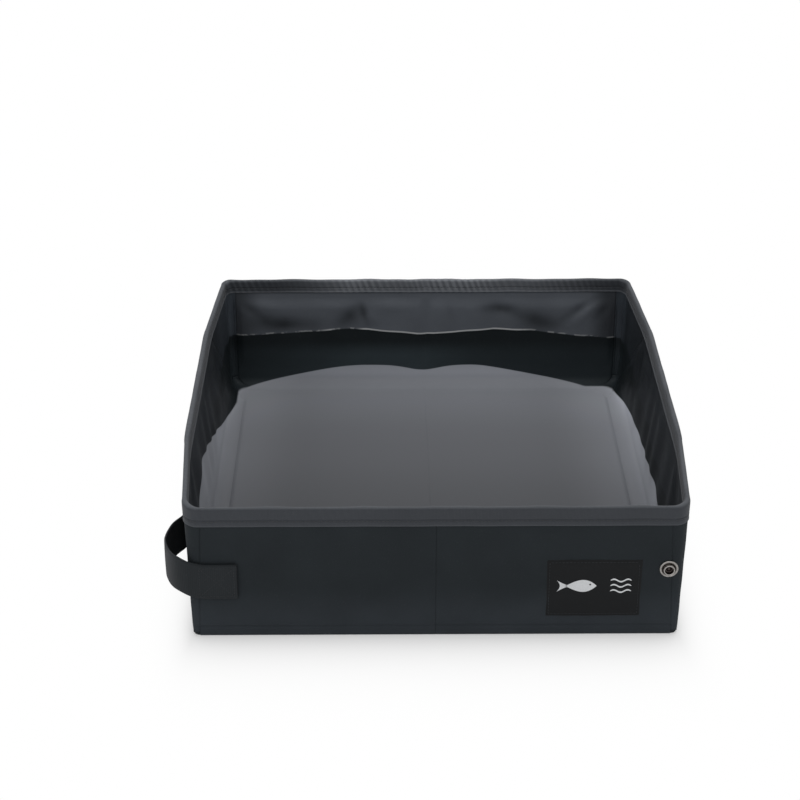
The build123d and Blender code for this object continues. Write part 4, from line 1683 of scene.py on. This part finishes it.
def turned(profile, centre, parts=64):
    """A profile of radius and height turned about the y axis through a centre, facing the front."""
    angle = np.linspace(0, 2 * np.pi, parts + 1)
    radius, height = np.array(profile, float).T
    x = centre[0] + radius[None] * np.cos(angle)[:, None]
    z = centre[2] + radius[None] * np.sin(angle)[:, None]
    return np.stack([x, np.broadcast_to(centre[1] - height, x.shape), z], -1)


class CLOTHTRAY_OT_press_stud(bpy.types.Operator):
    """Builds the press-stud socket and finishes the stud and its caps"""

    bl_idname = "clothtray.press_stud"
    bl_label = "Press Stud"
    bl_options = {"REGISTER", "UNDO"}

    def execute(self, context):
        t, f = sizes(context.scene.tray_sizes), sizes(context.scene.fitting_sizes)
        nickel = metal_material("nickel", context.scene.tray_colours.metal)
        dark = metal_material("dark nickel", DARK_NICKEL)
        centre = (f.socket_x, -t.half_depth, f.socket_z)
        parts = [sheet_data(turned(line, centre), True) for line in (FLANGE, TROUGH, COLLAR, CUP)]
        piece = make_piece("press_stud_socket", parts, [nickel, dark, nickel, dark], merge=True)
        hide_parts("snap_socket")
        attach(piece, "front_wall_right")
        for node in ("snap_socket_back", "strap_stud", "strap_cap"):
            paint(node, nickel)
        return {"FINISHED"}


def paint(node, material):
    """Give a solid of the frame a new material."""
    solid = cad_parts[node]
    solid.data.materials.clear()
    solid.data.materials.append(material)


class CLOTHTRAY_OT_boards(bpy.types.Operator):
    """Finishes the stiffening boards inside the walls and base"""

    bl_idname = "clothtray.boards"
    bl_label = "Boards"
    bl_options = {"REGISTER", "UNDO"}

    def execute(self, context):
        sheet = board_material(context.scene.tray_colours.board)
        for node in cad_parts:
            if "board" in node:
                paint(node, sheet)
        return {"FINISHED"}


# Stage


def seen_ray(tree, path):
    """1 for camera, glossy and transmission rays."""
    first = calc(tree, "MAXIMUM", path["Is Camera Ray"], path["Is Glossy Ray"])
    return calc(tree, "MAXIMUM", first, path["Is Transmission Ray"])


def stage_material(name, t):
    """White to the camera and in reflections, and diffuse enough to keep the tray's shadow.

    The white share is 1 less an exponential of the distance from the tray's foot, which
    counts three and a half times as much beside and behind the tray as before it.
    """
    material = bpy.data.materials.new(name)
    material.use_nodes = True
    tree = material.node_tree
    tree.nodes.clear()
    place = add_node(tree, "ShaderNodeTexCoord").outputs["Object"]
    x, y, _ = add_node(tree, "ShaderNodeSeparateXYZ", {0: place}).outputs
    half_width, half_depth = t.foot_half_width * MM, t.half_depth * MM
    wide_share, shadow_reach, shadow_share = 3.5, 0.032, 0.68

    def past(value, limit):
        return calc(tree, "MAXIMUM", calc(tree, "SUBTRACT", value, limit), 0.0)

    beside, behind = past(calc(tree, "ABSOLUTE", x), half_width), past(y, half_depth)
    before = past(product(tree, y, -1.0), half_depth)
    wide = product(tree, calc(tree, "ADD", beside, behind), wide_share)
    square = calc(tree, "ADD", calc(tree, "POWER", wide, 2.0), calc(tree, "POWER", before, 2.0))
    near = calc(tree, "EXPONENT", calc(tree, "DIVIDE", calc(tree, "SQRT", square), -shadow_reach))
    share = calc(tree, "MULTIPLY_ADD", near, -shadow_share, 1.0)
    diffuse = add_node(tree, "ShaderNodeBsdfDiffuse", {"Color": (0.96, 0.96, 0.96, 1.0)})
    glow = add_node(tree, "ShaderNodeEmission", {"Color": (1.0, 1.0, 1.0, 1.0), "Strength": 1.0})
    seen = product(tree, seen_ray(tree, add_node(tree, "ShaderNodeLightPath").outputs), share)
    mix = add_node(tree, "ShaderNodeMixShader", {0: seen, 1: diffuse.outputs[0], 2: glow.outputs[0]})
    add_node(tree, "ShaderNodeOutputMaterial", {"Surface": mix.outputs[0]})
    return material


class CLOTHTRAY_OT_stage(bpy.types.Operator):
    """Sets up the floor, the room light, the lamps and the camera"""

    bl_idname = "clothtray.stage"
    bl_label = "Stage"
    bl_options = {"REGISTER", "UNDO"}

    def execute(self, context):
        scene, s = context.scene, context.scene.stage_settings
        u, v = np.meshgrid(np.linspace(-6000, 6000, 3), np.linspace(-5000, 7000, 3), indexing="ij")
        ground = sheet_data(np.stack([u, v, 0 * u - 0.02], -1), False)
        pale = stage_material("studio floor", sizes(scene.tray_sizes))
        make_piece("studio_floor", [ground], [pale])
        world = bpy.data.worlds.new("pale room")
        world.use_nodes = True
        scene.world = world
        tree = world.node_tree
        tree.nodes.clear()
        path = add_node(tree, "ShaderNodeLightPath").outputs
        strength = calc(tree, "MULTIPLY_ADD", seen_ray(tree, path), 1.0 - s.room, s.room)
        light = {"Color": (1.0, 1.0, 1.0, 1.0), "Strength": strength}
        back = add_node(tree, "ShaderNodeBackground", light)
        add_node(tree, "ShaderNodeOutputWorld", {"Surface": back.outputs[0]})
        lamps = (
            ("overhead softbox", (0.0, 0.9, 2.3), (-20, 0, 0), 2.2, s.key_power),
            ("front softbox", (-0.6, -2.4, 1.6), (62, 0, -14), 1.8, s.fill_power),
        )
        for name, place, turn, size, power in lamps:
            lamp = bpy.data.lights.new(name, "AREA")
            lamp.shape, lamp.size, lamp.energy = "SQUARE", size, power
            holder = bpy.data.objects.new(name, lamp)
            holder.location, holder.rotation_euler = place, [math.radians(v) for v in turn]
            scene.collection.objects.link(holder)
        camera = bpy.data.cameras.new("camera")
        camera.lens, camera.sensor_width, camera.sensor_fit = s.lens, 36.0, "AUTO"
        camera.clip_start, camera.clip_end = 0.05, 50.0
        holder = bpy.data.objects.new("camera", camera)
        holder.location = s.camera_place
        holder.rotation_euler = (math.pi / 2 - s.camera_down, 0.0, -s.camera_turn)
        scene.collection.objects.link(holder)
        scene.camera = holder
        scene.view_settings.view_transform = "Standard"
        return {"FINISHED"}


class CLOTHTRAY_PT_panel(bpy.types.Panel):
    """Sidebar panel with the tray's settings and steps"""

    bl_idname = "CLOTHTRAY_PT_panel"
    bl_label = "Cloth Tray"
    bl_space_type = "VIEW_3D"
    bl_region_type = "UI"
    bl_category = "Cloth Tray"

    def draw(self, context):
        column = self.layout.column()
        for step in STEPS:
            column.operator(step.bl_idname)
        for name in SETTINGS:
            group = getattr(context.scene, name)
            box = self.layout.box()
            for key in type(group).__annotations__:
                box.prop(group, key)


SETTINGS = {
    "tray_sizes": TraySizes,
    "tape_sizes": TapeSizes,
    "fitting_sizes": FittingSizes,
    "tray_colours": TrayColours,
    "stage_settings": StageSettings,
}
STEPS = (
    CLOTHTRAY_OT_outer_walls,
    CLOTHTRAY_OT_corners,
    CLOTHTRAY_OT_base,
    CLOTHTRAY_OT_linings,
    CLOTHTRAY_OT_rim_tapes,
    CLOTHTRAY_OT_label,
    CLOTHTRAY_OT_strap,
    CLOTHTRAY_OT_press_stud,
    CLOTHTRAY_OT_boards,
    CLOTHTRAY_OT_stage,
)
CLASSES = (*SETTINGS.values(), *STEPS, CLOTHTRAY_PT_panel)


def register():
    for kind in CLASSES:
        bpy.utils.register_class(kind)
    for name, kind in SETTINGS.items():
        setattr(bpy.types.Scene, name, PointerProperty(type=kind))


def unregister():
    for name in SETTINGS:
        delattr(bpy.types.Scene, name)
    for kind in reversed(CLASSES):
        bpy.utils.unregister_class(kind)


def main():
    """Register the add-on and run its steps in order."""
    register()
    for step in STEPS:
        group, name = step.bl_idname.split(".")
        getattr(getattr(bpy.ops, group), name)()


if __name__ == "__main__":
    main()
